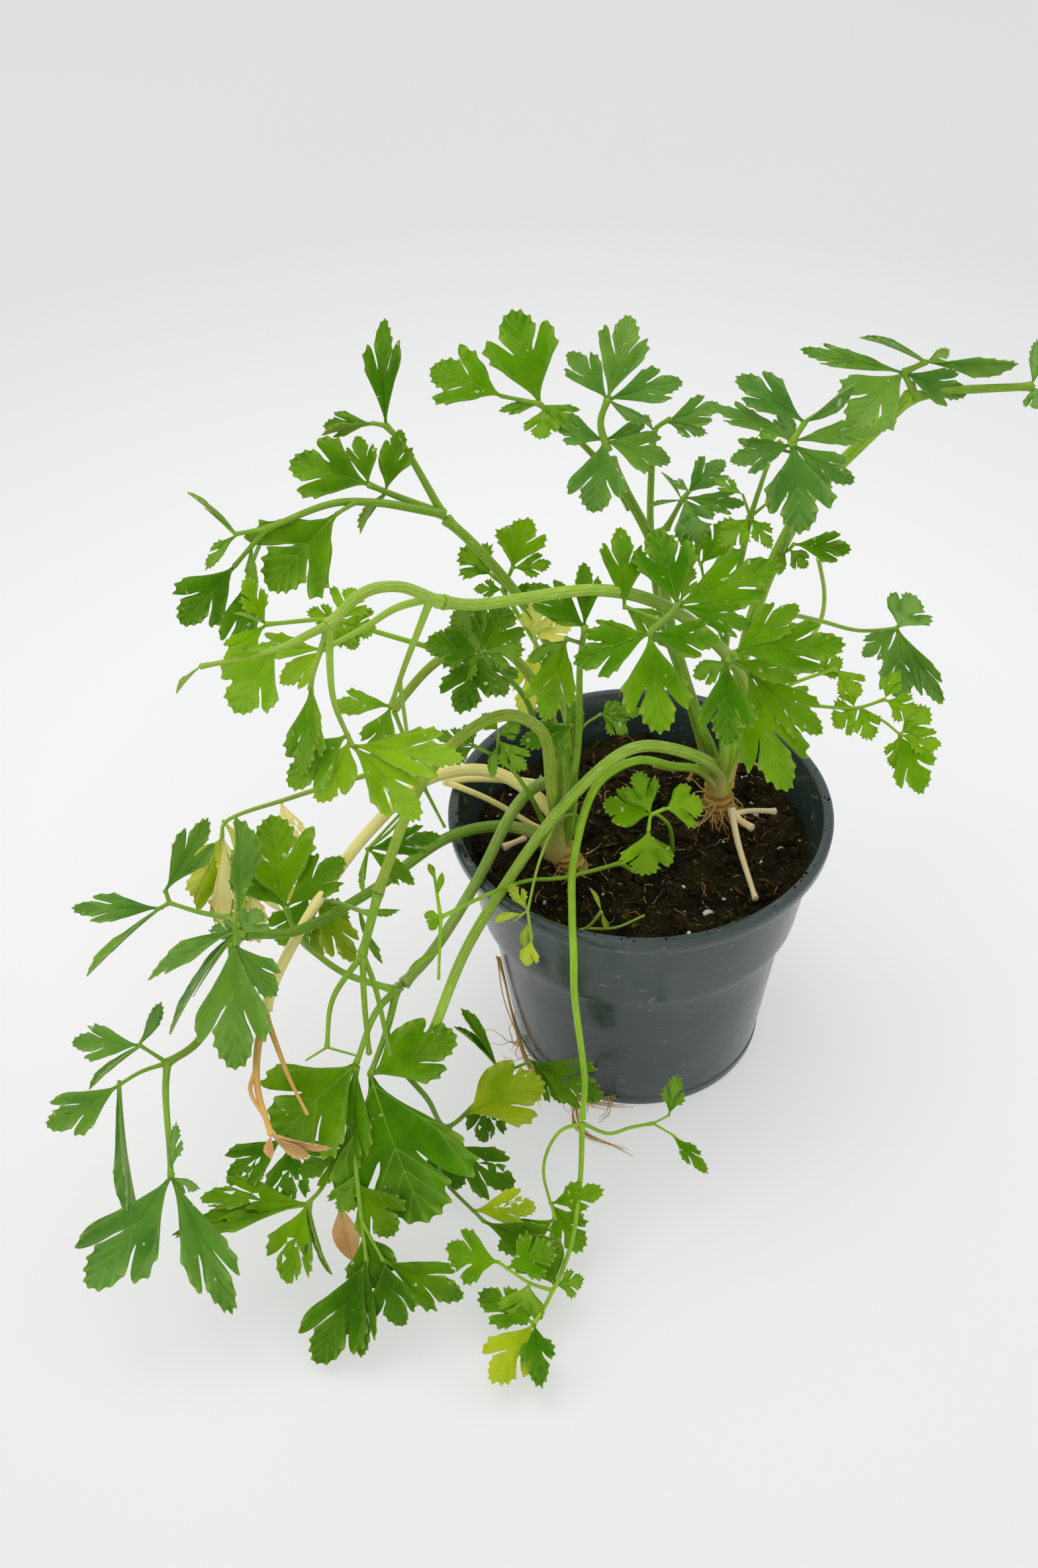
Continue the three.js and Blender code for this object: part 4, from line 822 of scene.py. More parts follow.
# The material slot for each colour of stalk or leaf
SLOTS = {
    "mid": "leaf_mid", "green2": "leaf_mid", "dark": "leaf_dark", "blue": "leaf_bluish",
    "young": "leaf_young", "yellow": "leaf_yellowing", "yellow2": "leaf_yellowing",
    "light": "petiole_light", "green": "petiole_green", "olive": "petiole_olive", "cream": "petiole_cream",
    "grey": "petiole_grey_green", "tan": "petiole_tan", "straw": "withered_straw", "root": "root_fibre",
}
OWN_SLOT = {"blade_long_arch": "leaf_light", "blade_olive_arch": "leaf_yellowing"}
# Blades whose teeth are sharper than the others', and those that insects have eaten
SHARP_TOOTHED = {
    "blade_left_back_small", "blade_right_feathery", "blade_curly_light", "blade_curly_dark",
    "blade_low_centre", "blade_low_left", "blade_yellowing", "blade_floor_left", "blade_young_sprig",
    "blade_right_small",
}
EATEN = {"blade_holed_and_underside", "blade_pot_foot", "blade_yellow_back"}
ROOT_BUNCH = "roots_from_the_foot"
CROWN_TOPS = (np.array((25.5, 10.0, 96.0)), np.array((-26.0, -11.5, 90.0)))
# Leaflets with a colour or a shape of their own, by the blade and their number on it
OWN_TONE = {
    ("blade_lower_green", 9): "straw", ("blade_yellow_back", 2): "yellow2",
    ("blade_yellow_back", 4): "rust", ("blade_yellow_back", 5): "rust",
    ("blade_pot_foot", 2): "yellow2", ("blade_pot_foot", 7): "yellow2", ("blade_floor_left", 4): "yellow2",
    ("blade_olive_arch", 1): "young", ("blade_olive_arch", 2): "yellow2", ("blade_olive_arch", 3): "yellow2",
    ("blade_olive_arch", 6): "young", ("blade_holed_and_underside", 5): "grey",
}
OWN_SHAPE = {("blade_grey_green", 4): "broad", ("blade_grey_green", 1): "broad"}
# Blades and stalks that are greener or fresher than the colour of their slot
LEAF_TONE = {"blade_floor_left": "green2"}
STALK_TONE = {"petiole_right_high": "young", "blade_right_high": "green", "blade_lower_green": "green"}


def from_crown(points):
    """A stalk that begins close to a crown is carried on down into it."""
    start = np.array(points[0], float)
    for top in CROWN_TOPS:
        away = start - top
        if np.linalg.norm(away) < 27 and start[2] > top[2] - 2:
            level = away * (1, 1, 0)
            return [top + 2.0 * level / (np.linalg.norm(level) + 1e-6) + (0, 0, -3), *points]
    return points


def petiole(name, tone, r0, r1, points):
    """A main stalk from its foot to its first fork, r0 thick at the foot and r1 at the end."""
    dice = random.Random(name)
    growth = Growth()
    rooted = tone not in ("straw", "root") and from_crown(points) is not points
    points = from_crown(points) if rooted else points
    sheath = (0.7 if r0 > 1.6 else 0.25) if rooted else 0.0
    stalk(growth, smooth_line(points), r0, r1, 0, dice, sheath)
    growth.piece(name, [STALKS[STALK_TONE.get(name, tone)]], OWN_SLOT.get(name, SLOTS[tone]), name)


def blade(name, tone, stalks):
    """A compound blade. Every stalk after the first starts on the nearest point of an earlier one."""
    dice = random.Random(name)
    growth = Growth()
    earlier = np.zeros((0, 3))
    number = 0
    leaf_tone = LEAF_TONE.get(name, tone)
    materials = [LEAVES[leaf_tone if leaf_tone in LEAVES else "mid"], STALKS[STALK_TONE.get(name, tone)]]
    for r0, r1, points, leaflets in stalks:
        route = [np.array(p, float) for p in points]
        if not len(earlier) and tone not in ("straw", "root"):
            route = [np.array(p, float) for p in from_crown(points)]
        if len(earlier):
            route[0] = earlier[np.linalg.norm(earlier - route[0], axis=1).argmin()]
        line = smooth_line(route, 1.6)
        earlier = np.concatenate([earlier, line])
        if name == ROOT_BUNCH:
            strands(growth, line, 1, dice)
            continue
        stalk(growth, line, r0, r1, 1, dice)
        for at, bearing, lift, length, width, kind, *turn in leaflets:
            base = line[round(at * (len(line) - 1))]
            number += 1
            skin = 0
            if (name, number) in OWN_TONE:
                materials.append(LEAVES[OWN_TONE[name, number]])
                skin = len(materials) - 1
                kind = "dried" if OWN_TONE[name, number] == "straw" else kind
            kind = OWN_SHAPE.get((name, number), kind)
            if name in SHARP_TOOTHED and kind != "slim":
                kind = "feathery" if kind != "fan" or dice.random() < 0.4 else kind
            elif name in EATEN and kind == "tri":
                kind = "eaten"
            leaflet(growth, base, bearing, lift, length, width, kind, turn[0] if turn else 0, dice, (skin, 1))
    growth.piece(name, materials, OWN_SLOT.get(name, SLOTS[tone]), name)


def plant():
    petiole("petiole_upper_left", "green", 1.9, 1.5, [
        [-25, -10, 94], [-23, 3, 108], [-22, 10, 133], [-34, 18, 158], [-49, 24, 177], [-57, 26, 185],
    ])
    blade("blade_upper_left", "mid", [
        [1.3, 0.8, [[-58, 26, 187], [-69, 30, 209], [-73, 31, 214]], [
            [1, 95, 65, 30, 11, "tri"],
        ]],
        [0.7, 0.5, [[-73, 31, 214], [-77, 31, 215]], [
            [1, 180, 0, 14, 8, "tri"], [1, 190, -5, 15, 6, "slim", 50],
        ]],
        [1.3, 0.8, [[-58, 26, 187], [-70, 20, 197], [-78, 16, 204]], [
            [1, 165, 15, 24, 20, "tri"], [1, 105, 45, 15, 9, "tri", 15], [0.8, 220, -35, 14, 9, "slim", 50],
            [0.8, 65, 45, 19, 10, "fan", 25],
        ]],
        [1.4, 0.9, [[-58, 26, 187], [-77, 10, 202], [-88, 2, 207], [-105, -8, 206]], []],
        [0.8, 0.5, [[-105, -8, 206], [-113, -10, 206]], [
            [1, 145, 30, 18, 6, "slim", 60], [1, 215, -30, 13, 7, "bi", 25],
        ]],
        [0.9, 0.6, [[-105, -8, 206], [-115, -8, 194]], [
            [0.5, 280, -45, 11, 6, "slim", 30], [1, 220, -30, 22, 17, "tri"],
        ]],
        [0.8, 0.5, [[-105, -8, 206], [-110, 0, 192], [-113, 4, 183]], [
            [1, 255, -45, 26, 14, "tri", 35],
        ]],
        [0.8, 0.5, [[-82, 8, 203], [-86, -3, 207]], [
            [1, 215, -30, 28, 30, "tri"],
        ]],
    ])
    petiole("petiole_long_arch", "light", 2.1, 1.6, [
        [29, 12, 101], [31, 5, 120], [30, -5, 145], [15, -15, 173], [0, -22, 189], [-16, -29, 198],
        [-48, -44, 205], [-56, -48, 209],
    ])
    blade("blade_long_arch", "light", [
        [1.6, 1.4, [[-57, -49, 210], [-67, -56, 220], [-75, -61, 222], [-84, -66, 216]], []],
        [1.2, 0.6, [[-84, -66, 216], [-99, -70, 211], [-116, -74, 210]], [
            [1, 215, -25, 9, 5, "slim", 50], [0.45, 225, -30, 19, 18, "fan"],
        ]],
        [0.9, 0.6, [[-84, -66, 216], [-89, -68, 202], [-90, -69, 198]], [
            [1, 265, -40, 22, 11, "tri", 20], [0.9, 275, -40, 17, 8, "bi", 35],
        ]],
        [1.1, 0.6, [[-84, -66, 216], [-84, -72, 197], [-80, -76, 185]], [
            [1, 355, -5, 29, 14, "tri"], [0.9, 210, -20, 20, 15, "tri"], [0.95, 240, -35, 18, 12, "fan"],
            [1, 325, -30, 26, 14, "tri"],
        ]],
        [1.1, 0.7, [[-58, -50, 212], [-68, -50, 209], [-77, -49, 202], [-88, -47, 194]], [
            [1, 180, 5, 20, 9, "tri", 15], [1, 210, -25, 15, 10, "bi", 10],
        ]],
        [1.1, 0.6, [[-58, -50, 212], [-67, -52, 191], [-71, -54, 180]], [
            [1, 175, 5, 16, 10, "bi", 25], [1, 240, -40, 15, 11, "tri", 10],
        ]],
        [0.6, 0.5, [[-68, -53, 187], [-67, -56, 170]], []],
    ])
    blade("blade_left_back_small", "young", [
        [0.8, 0.6, [[-61, -20, 173], [-78, -24, 183], [-86, -26, 188], [-105, -30, 190]], [
            [0.58, 55, 40, 10, 13, "tri"], [0.58, 170, 10, 10, 7, "tri"], [0.58, 225, -35, 8, 9, "fan"],
            [0.58, 350, -15, 10, 11, "tri"], [0.58, 300, -40, 9, 8, "fan"], [1, 125, 40, 15, 8, "tri", 10],
            [1, 210, -25, 16, 10, "tri", 25], [1, 160, 20, 9, 5, "slim", 40],
        ]],
    ])
    petiole("petiole_left_mid", "olive", 1.7, 1.3, [
        [-27, -14, 99], [-26, -10, 116], [-27, -9, 134], [-34, -10, 155], [-43, -16, 170], [-51, -20, 174],
        [-61, -24, 170], [-72, -30, 160],
    ])
    petiole("petiole_top_centre", "green", 1.9, 1.4, [
        [22, 18, 98], [20, 18, 106], [11, 19, 140], [4, 24, 174], [-5, 26, 194], [-9, 26, 204],
    ])
    blade("blade_top_centre", "blue", [
        [1.2, 0.9, [[-10, 26, 207], [-12, 28, 215], [-10, 29, 222]], [
            [0.15, 170, 15, 15, 9, "tri"], [0.15, 255, -45, 21, 18, "tri"], [0.15, 350, -10, 20, 13, "tri"],
            [0.15, 15, 15, 15, 5, "slim", 20], [1, 135, 35, 18, 11, "tri"], [1, 65, 45, 26, 15, "tri"],
            [1, 10, 10, 22, 12, "tri"], [1, 335, -25, 14, 5, "slim", 30],
        ]],
    ])
    blade("blade_top_left", "green2", [
        [1.2, 0.7, [[-3, 28, 186], [-12, 31, 200], [-29, 34, 218]], [
            [1, 115, 45, 29, 22, "tri"], [1, 345, -20, 14, 8, "tri"], [1, 185, 0, 12, 5, "bi", 10],
            [0.95, 260, -45, 9, 11, "fan"],
        ]],
        [0.8, 0.5, [[-29, 34, 218], [-40, 34, 221]], [
            [1, 160, 20, 22, 20, "tri"],
        ]],
    ])
    blade("blade_vertical", "blue", [
        [1.4, 1, [[25, 24, 95], [20, 28, 106], [8, 35, 140], [4, 39, 170], [4, 41, 202]], []],
        [0.9, 0.6, [[4, 41, 202], [5, 41, 205], [9, 41, 208]], [
            [0.85, 10, 10, 17, 10, "tri"], [0.85, 350, -15, 13, 6, "bi"], [0.25, 140, 35, 8, 5, "slim", 20],
        ]],
    ])
    blade("blade_right_of_top", "blue", [
        [1, 0.6, [[7, 20, 184], [11, 18, 195]], [
            [1, 185, -5, 10, 3, "slim", 30], [0.95, 130, 40, 10, 3, "slim", 40],
        ]],
        [0.6, 0.5, [[11, 18, 195], [13, 18, 198]], [
            [0.6, 35, 30, 15, 11, "tri"], [0.4, 300, -45, 14, 14, "tri"], [0.4, 355, -10, 18, 7, "tri", 10],
            [1, 155, 25, 6, 4, "tri", 20],
        ]],
        [0.7, 0.7, [[7, 20, 184], [1.5, 24.7, 179]], []],
    ])
    blade("petiole_right_high", "olive", [
        [2.2, 1.7, [[26, 8, 99], [27, 4, 109], [29, -1, 154], [34, -6, 186], [43, -11, 214], [57, -16, 237],
            [65, -19, 249]], []],
        [0.6, 0.4, [[35, -7, 193], [38, -10, 196], [39, -14, 201]], [
            [1, 355, -5, 16, 9, "tri"], [0.5, 315, -35, 7, 6, "fan"], [0.3, 250, -45, 7, 4, "bi"],
        ]],
    ])
    blade("blade_right_high", "blue", [
        [1.3, 1, [[66, -19, 249], [74, -20, 251], [95, -22, 253]], [
            [1, 75, 40, 13, 6, "bi", 10], [1, 285, -40, 6, 7, "fan", 10],
        ]],
        [0.9, 0.7, [[65, -18, 250], [63, -17, 255]], [
            [1, 170, 10, 27, 7, "tri", 15], [1, 215, -25, 20, 19, "tri"], [1, 340, -15, 17, 10, "tri"],
        ]],
        [0.9, 0.6, [[63, -17, 255], [68, -19, 259]], [
            [1, 155, 20, 18, 4, "slim", 35], [1, 355, -5, 24, 6, "slim", 25], [1, 20, 15, 7, 5, "bi", 20],
        ]],
        [0.9, 0.9, [[66, -19, 249], [65, -17, 252]], []],
    ])
    blade("blade_right_near", "blue", [
        [1.3, 1, [[37, -20, 216], [36, -30, 231], [32, -42, 251]], [
            [0.95, 275, -40, 23, 18, "tri"], [0.95, 190, -10, 16, 10, "tri"], [0.95, 330, -25, 18, 9, "tri"],
            [1, 155, 20, 22, 8, "tri", 15], [0.95, 105, 40, 9, 8, "bi", 10], [1, 10, 5, 23, 7, "tri", 15],
            [0.85, 165, 10, 13, 3, "slim", 30],
        ]],
        [0.8, 0.6, [[32, -42, 251], [35, -40, 255]], [
            [1, 150, 25, 21, 11, "tri"], [1, 25, 20, 16, 6, "slim", 40],
        ]],
        [1.3, 1.2, [[37, -20, 216], [37, -15, 205], [36.3, -7.4, 193]], []],
    ])
    blade("blade_right_small", "green2", [
        [1.2, 0.9, [[27, 20, 101], [26, 20, 119], [26, 14, 154], [29, 4, 198]], [
            [1, 315, -35, 11, 7, "tri"], [1, 215, -30, 12, 10, "fan"],
        ]],
        [0.8, 0.6, [[29, 4, 198], [32, -2, 219]], [
            [1, 85, 45, 11, 9, "tri"],
        ]],
        [0.5, 0.4, [[29, 4, 198], [33, 4, 202]], [
            [1, 35, 30, 10, 6, "bi"],
        ]],
        [0.5, 0.4, [[29, 4, 198], [27, 8, 203]], [
            [1, 160, 20, 9, 5, "tri", 10],
        ]],
        [0.6, 0.4, [[26, 16, 144], [20, 12, 161], [16, 6, 181]], [
            [1, 40, 35, 16, 12, "tri", 10], [1, 130, 40, 11, 8, "bi", 10],
        ]],
    ])
    petiole("stem_back_right", "light", 0.9, 0.7, [
        [29, 24, 97], [42, 44, 102], [56, 60, 107], [63, 68, 113], [64, 70, 122], [61, 70, 137],
    ])
    blade("blade_back_right", "blue", [
        [0.9, 0.6, [[48, 58, 125], [65, 75, 108], [79, 80, 100], [92, 82, 99]], [
            [1, 40, 40, 13, 18, "fan"], [1, 205, -30, 15, 10, "tri"], [1, 280, -55, 25, 18, "tri"],
            [1, 315, -45, 31, 10, "tri", 20],
        ]],
        [0.9, 0.9, [[48, 58, 125], [42, 47, 121], [33, 31, 106], [28, 22, 97]], []],
    ])
    blade("blade_right_feathery", "young", [
        [0.8, 0.5, [[28, 6, 117], [42, 2, 138], [57, 2, 145]], [
            [0.6, 145, 35, 8, 9, "tri"], [0.6, 340, -20, 10, 9, "tri"], [0.75, 335, -25, 8, 8, "tri"],
            [0.9, 20, 20, 10, 8, "tri"], [1, 325, -35, 11, 9, "tri"],
        ]],
        [0.6, 0.5, [[45, 8, 128], [54, 8, 126], [66, 8, 125], [74, 8, 128]], [
            [0.8, 200, -20, 10, 12, "tri"], [0.8, 300, -45, 11, 10, "tri"], [0.75, 110, 50, 10, 8, "bi"],
            [1, 55, 45, 10, 7, "bi"], [1, 345, -20, 12, 10, "tri"],
        ]],
        [0.5, 0.4, [[67, 8, 125], [75, 8, 119], [80, 8, 114]], [
            [1, 25, 25, 13, 12, "tri"], [1, 350, -15, 14, 9, "tri"], [1, 250, -50, 11, 8, "bi"],
            [1, 300, -45, 20, 16, "tri"],
        ]],
    ])
    blade("blade_curly_light", "young", [
        [1, 0.7, [[-22, -4, 89], [-20, 5, 100], [-24, 18, 122], [-30, 22, 138], [-41, 25, 160]], [
            [1, 175, 5, 9, 6, "tri"],
        ]],
        [0.7, 0.5, [[-41, 25, 160], [-38, 25, 168]], [
            [1, 60, 45, 16, 16, "tri"], [1, 5, 0, 12, 8, "bi"], [1, 95, 50, 13, 7, "bi", 10],
            [0.1, 355, -5, 16, 6, "tri", 10],
        ]],
        [0.6, 0.5, [[-41, 25, 162], [-44, 24, 166]], [
            [0.9, 150, 30, 13, 14, "fan"],
        ]],
    ])
    blade("blade_curly_dark", "dark", [
        [1, 0.6, [[-32, -14, 138], [-36, -24, 159], [-47, -34, 182]], [
            [1, 175, 10, 16, 14, "fan", 10], [1, 125, 40, 14, 15, "fan", -10], [1, 50, 35, 15, 16, "fan", 10],
            [1, 0, 0, 12, 13, "fan", -15], [1, 245, -40, 18, 16, "tri"], [1, 305, -40, 14, 13, "tri"],
            [1, 210, -25, 12, 9, "bi", 10],
        ]],
        [0.9, 0.9, [[-32, -14, 138], [-29, -10, 138]], []],
    ])
    blade("blade_yellowing", "yellow", [
        [0.8, 0.5, [[-26, 4, 124], [-29, 6, 137], [-32, 8, 154]], [
            [1, 80, 50, 12, 11, "fan"], [1, 20, 15, 13, 10, "fan"], [0.95, 255, -45, 23, 12, "tri"],
        ]],
        [0.7, 0.7, [[-26, 4, 124], [-22.5, 6.5, 122]], []],
    ])
    blade("blade_inner_left", "mid", [
        [1.3, 0.8, [[-23, -14, 101], [-20, -16, 134], [-20, -30, 174], [-19, -36, 191]], [
            [1, 145, 30, 19, 12, "tri"], [1, 85, 45, 18, 9, "bi", 10], [1, 165, 15, 11, 6, "bi"],
        ]],
        [0.6, 0.5, [[-20, -34, 183], [-24, -37, 188]], [
            [0.9, 200, -15, 13, 7, "bi"], [0.95, 250, -40, 23, 14, "tri"],
        ]],
    ])
    petiole("petiole_centre", "green", 1.7, 1.2, [
        [24.5, 10, 99], [22, 9, 107], [18, 0, 125], [12, -14, 152], [7, -26, 174], [2, -36, 186],
    ])
    blade("blade_centre_near", "green2", [
        [1.1, 0.7, [[0, -40, 190], [-2, -43, 194], [2, -38, 194], [7, -30, 194]], [
            [0.2, 195, -10, 22, 14, "tri"], [0.25, 180, 0, 18, 8, "tri", 15], [0.2, 275, -45, 27, 19, "tri"],
            [0.2, 355, -10, 19, 11, "tri"], [0.9, 105, 45, 22, 18, "tri"], [0.9, 20, 15, 31, 17, "tri"],
            [0.9, 350, -10, 22, 10, "tri"], [1, 60, 40, 11, 6, "bi", 10],
        ]],
        [0.7, 0.5, [[2, -38, 194], [-8, -30, 193]], [
            [1, 90, 45, 22, 13, "tri"], [1, 335, -25, 12, 8, "tri", 20],
        ]],
        [1.1, 1.1, [[0, -40, 190], [2, -36.5, 187]], []],
    ])
    petiole("petiole_right_near", "light", 1.6, 1.2, [
        [25.5, 8, 99], [25, -2, 114], [24, -8, 131], [21, -18, 152], [20, -30, 171],
    ])
    blade("blade_right_over_rim", "green2", [
        [1, 0.7, [[20, -34, 175], [21, -41, 185]], [
            [1, 30, 25, 22, 11, "tri"], [1, 5, 0, 31, 15, "tri"],
        ]],
        [0.7, 0.6, [[20, -39, 182], [19, -41, 182]], [
            [1, 265, -45, 23, 16, "tri"], [1, 195, -15, 10, 9, "bi"],
        ]],
        [0.8, 0.6, [[20, -39, 182], [26, -34, 173]], [
            [0.15, 345, -15, 19, 9, "bi", 20], [1, 290, -45, 35, 20, "tri"], [1, 330, -30, 27, 13, "tri"],
        ]],
        [1, 1, [[20, -34, 175], [20, -31, 172]], []],
    ])
    blade("blade_low_centre", "mid", [
        [0.7, 0.4, [[-20, 4, 110], [-18, -2, 128], [-13, -8, 138]], [
            [1, 340, -25, 10, 8, "tri"], [1, 20, 20, 7, 5, "bi"], [1, 5, 0, 13, 6, "bi", 10],
        ]],
        [0.6, 0.4, [[-20, 4, 110], [-22, -6, 126], [-22, -14, 139]], [
            [1, 40, 35, 6, 5, "bi"], [1, 195, -15, 16, 11, "tri"], [1, 230, -40, 11, 8, "tri"],
        ]],
    ])
    blade("blade_low_left", "mid", [
        [0.9, 0.5, [[-31, -10, 99], [-36, -18, 119], [-42, -26, 136], [-50, -32, 147]], [
            [1, 170, 15, 12, 7, "tri"], [1, 200, -20, 11, 6, "tri"], [1, 125, 40, 7, 5, "bi"],
        ]],
        [0.5, 0.4, [[-44, -28, 139], [-43, -28, 149]], [
            [1, 145, 35, 7, 6, "bi"], [0.6, 320, -35, 12, 9, "tri"], [0.5, 250, -45, 10, 4, "slim", 20],
            [0.9, 15, 15, 7, 6, "bi"],
        ]],
    ])
    petiole("petiole_cream", "cream", 2.2, 1.5, [
        [-27, -6, 96], [-34, 0, 101], [-47, 6, 105], [-65, 2, 106], [-83, -18, 103], [-98, -38, 94],
        [-110, -60, 84], [-113, -68, 79],
    ])
    blade("blade_cream_end", "tan", [
        [1.3, 0.8, [[-113, -70, 79], [-115, -78, 74], [-115, -88, 68], [-111, -99, 60]], [
            [1, 335, -25, 13, 5, "slim", 30], [1, 260, -45, 7, 4, "slim", 20],
            [1, 345, -15, 18, 3, "slim", 30],
        ]],
        [1, 0.4, [[-113, -70, 79], [-106, -85, 68], [-101, -92, 60]], []],
        [0.7, 0.5, [[-117, -83, 71], [-117, -89, 68], [-112, -96, 62]], []],
    ])
    blade("petioles_withered_left", "cream", [
        [1.5, 1.2, [[-25, 8, 94], [-33, 10, 96], [-51, 13, 96], [-61, 12, 96]], []],
        [1.1, 0.9, [[-61, 12, 96], [-47, 6, 93], [-32, 0, 86]], []],
    ])
    petiole("petiole_olive_arch", "olive", 2, 1.5, [
        [-26, -17, 98], [-28, -20, 120], [-31, -27, 148], [-41, -32, 158], [-52, -37, 156], [-65, -46, 145],
        [-78, -61, 119],
    ])
    blade("blade_olive_arch", "green", [
        [1.4, 1.2, [[-78, -61, 118], [-83, -71, 104]], []],
        [0.8, 0.5, [[-80, -64, 113], [-94, -38, 93], [-103, -28, 85]], [
            [1, 230, -40, 17, 14, "fan"], [1, 280, -50, 20, 8, "tri"], [0.9, 315, -40, 23, 12, "tri"],
            [0.25, 355, -5, 12, 3, "slim", 20], [0.25, 295, -45, 17, 4, "slim", 30],
            [0.9, 340, -25, 13, 8, "tri"],
        ]],
        [1, 0.6, [[-83, -71, 104], [-92, -78, 93], [-94, -86, 82]], []],
        [1, 0.7, [[-83, -71, 104], [-83, -78, 93], [-82, -88, 81]], []],
        [0.9, 0.6, [[-83, -71, 104], [-80, -74, 94], [-76, -88, 80]], []],
        [0.4, 0.3, [[-94, -86, 82], [-100, -89, 80]], []],
        [0.4, 0.3, [[-94, -86, 82], [-84, -90, 82]], []],
    ])
    petiole("petiole_dark_left", "dark", 2, 1.4, [
        [-32, -14, 96], [-43, -12, 98], [-59, -15, 97], [-83, -32, 91], [-104, -50, 93], [-117, -59, 101],
    ])
    blade("blade_dark_left", "blue", [
        [1, 0.8, [[-118, -60, 102], [-120, -61, 104], [-120, -63, 101]], [
            [0.5, 220, -35, 35, 12, "slim", 40], [0.85, 265, -45, 38, 23, "tri", 10],
            [1, 320, -35, 19, 12, "fan"],
            [0.1, 40, 35, 9, 11, "fan", 10], [0, 175, 10, 10, 8, "bi", 10],
        ]],
        [0.6, 0.5, [[-120, -61, 104], [-118, -63, 114]], [
            [0.9, 60, 65, 30, 13, "slim", 45], [0.1, 195, -15, 29, 8, "slim", 15],
        ]],
    ])
    blade("blade_mid_left_big", "mid", [
        [1.1, 0.8, [[-76, -66, 84], [-90, -60, 85], [-98, -55, 88], [-105, -42, 83], [-108, -39, 92]], [
            [1, 105, 50, 28, 26, "tri"], [1, 30, 30, 23, 14, "tri"], [1, 150, 30, 23, 14, "tri", 10],
        ]],
        [1.1, 1.1, [[-76, -66, 84], [-74.5, -60.5, 79.5]], []],
    ])
    blade("blade_far_left_upper", "blue", [
        [0.9, 0.6, [[-123, -52, 101], [-133, -46, 98], [-142, -40, 96]], []],
        [0.6, 0.5, [[-142, -40, 96], [-143, -38, 99]], [
            [1, 45, 40, 25, 14, "tri", 30],
        ]],
        [0.6, 0.5, [[-142, -40, 96], [-146, -42, 95]], [
            [0.7, 180, 0, 27, 10, "tri", 15], [1, 210, -25, 29, 5, "slim", 45],
        ]],
        [0.9, 0.9, [[-123, -52, 101], [-119, -57, 101]], []],
    ])
    blade("blade_yellow_back", "yellow", [
        [0.9, 0.6, [[-94, 20, 90], [-110, 14, 89], [-131, 6, 86], [-132, 4, 82]], [
            [1, 235, -45, 22, 18, "fan"], [1, 268, -50, 30, 18, "tri"], [0.9, 320, -35, 34, 20, "tri"],
            [0.45, 295, -50, 16, 10, "tri"], [1, 295, -45, 36, 22, "tri"],
        ]],
        [0.9, 0.9, [[-94, 20, 90], [-78, 19, 95], [-61, 13, 97]], []],
    ])
    blade("blade_behind_olive", "mid", [
        [0.6, 0.4, [[-65, -30, 130], [-63, -28, 122], [-60, -26, 111]], []],
        [0.5, 0.4, [[-82, -50, 143], [-81, -50, 125]], [
            [1, 5, 5, 21, 9, "tri"], [1, 335, -25, 17, 8, "bi"], [1, 255, -45, 14, 5, "slim", 40],
        ]],
        [0.5, 0.4, [[-81, -50, 125], [-74, -44, 127], [-65, -30, 130]], []],
        [0.6, 0.6, [[-65, -30, 130], [-69, -30, 146], [-72, -30.5, 159]], []],
    ])
    blade("blade_far_left_low", "blue", [
        [1.5, 1.1, [[-123, -50, 88], [-125, -54, 77], [-134, -70, 68], [-142, -78, 68]], []],
        [1.1, 0.8, [[-142, -78, 68], [-142, -86, 65], [-140, -102, 58], [-139, -110, 56]], [
            [1, 225, -35, 40, 23, "tri"], [1, 305, -45, 44, 15, "tri"], [1, 340, -20, 9, 7, "bi", 40],
            [0.95, 80, 45, 14, 6, "bi", 30],
        ]],
        [0.7, 0.5, [[-142, -78, 68], [-149, -78, 76]], [
            [1, 180, 5, 20, 11, "tri"], [1, 50, 40, 14, 6, "slim", 35], [1, 205, -25, 20, 5, "slim", 50],
        ]],
        [0.7, 0.5, [[-142, -78, 68], [-149, -82, 69], [-155, -87, 69]], [
            [1, 205, -20, 24, 14, "tri"], [1, 275, -45, 45, 10, "slim", 40],
        ]],
        [1.4, 1.3, [[-123, -50, 88], [-118.5, -57, 99]], []],
    ])
    petiole("petiole_grey_green", "grey", 2.1, 1.6, [
        [-23, 4, 89], [-25, 4, 99], [-32, -6, 109], [-39, -15, 108], [-51, -32, 94], [-65, -50, 82],
        [-73, -58, 78],
    ])
    blade("blade_grey_green", "mid", [
        [1.2, 0.8, [[-74, -59, 78], [-81, -66, 75], [-87, -79, 67]], [
            [1, 210, -30, 33, 34, "fan"], [1, 262, -45, 34, 14, "tri", 10],
        ]],
        [1.2, 0.8, [[-75, -60, 77], [-78, -68, 70], [-83, -81, 64]], [
            [1, 15, 15, 28, 20, "fan"], [1, 292, -45, 47, 45, "fan"],
        ]],
    ])
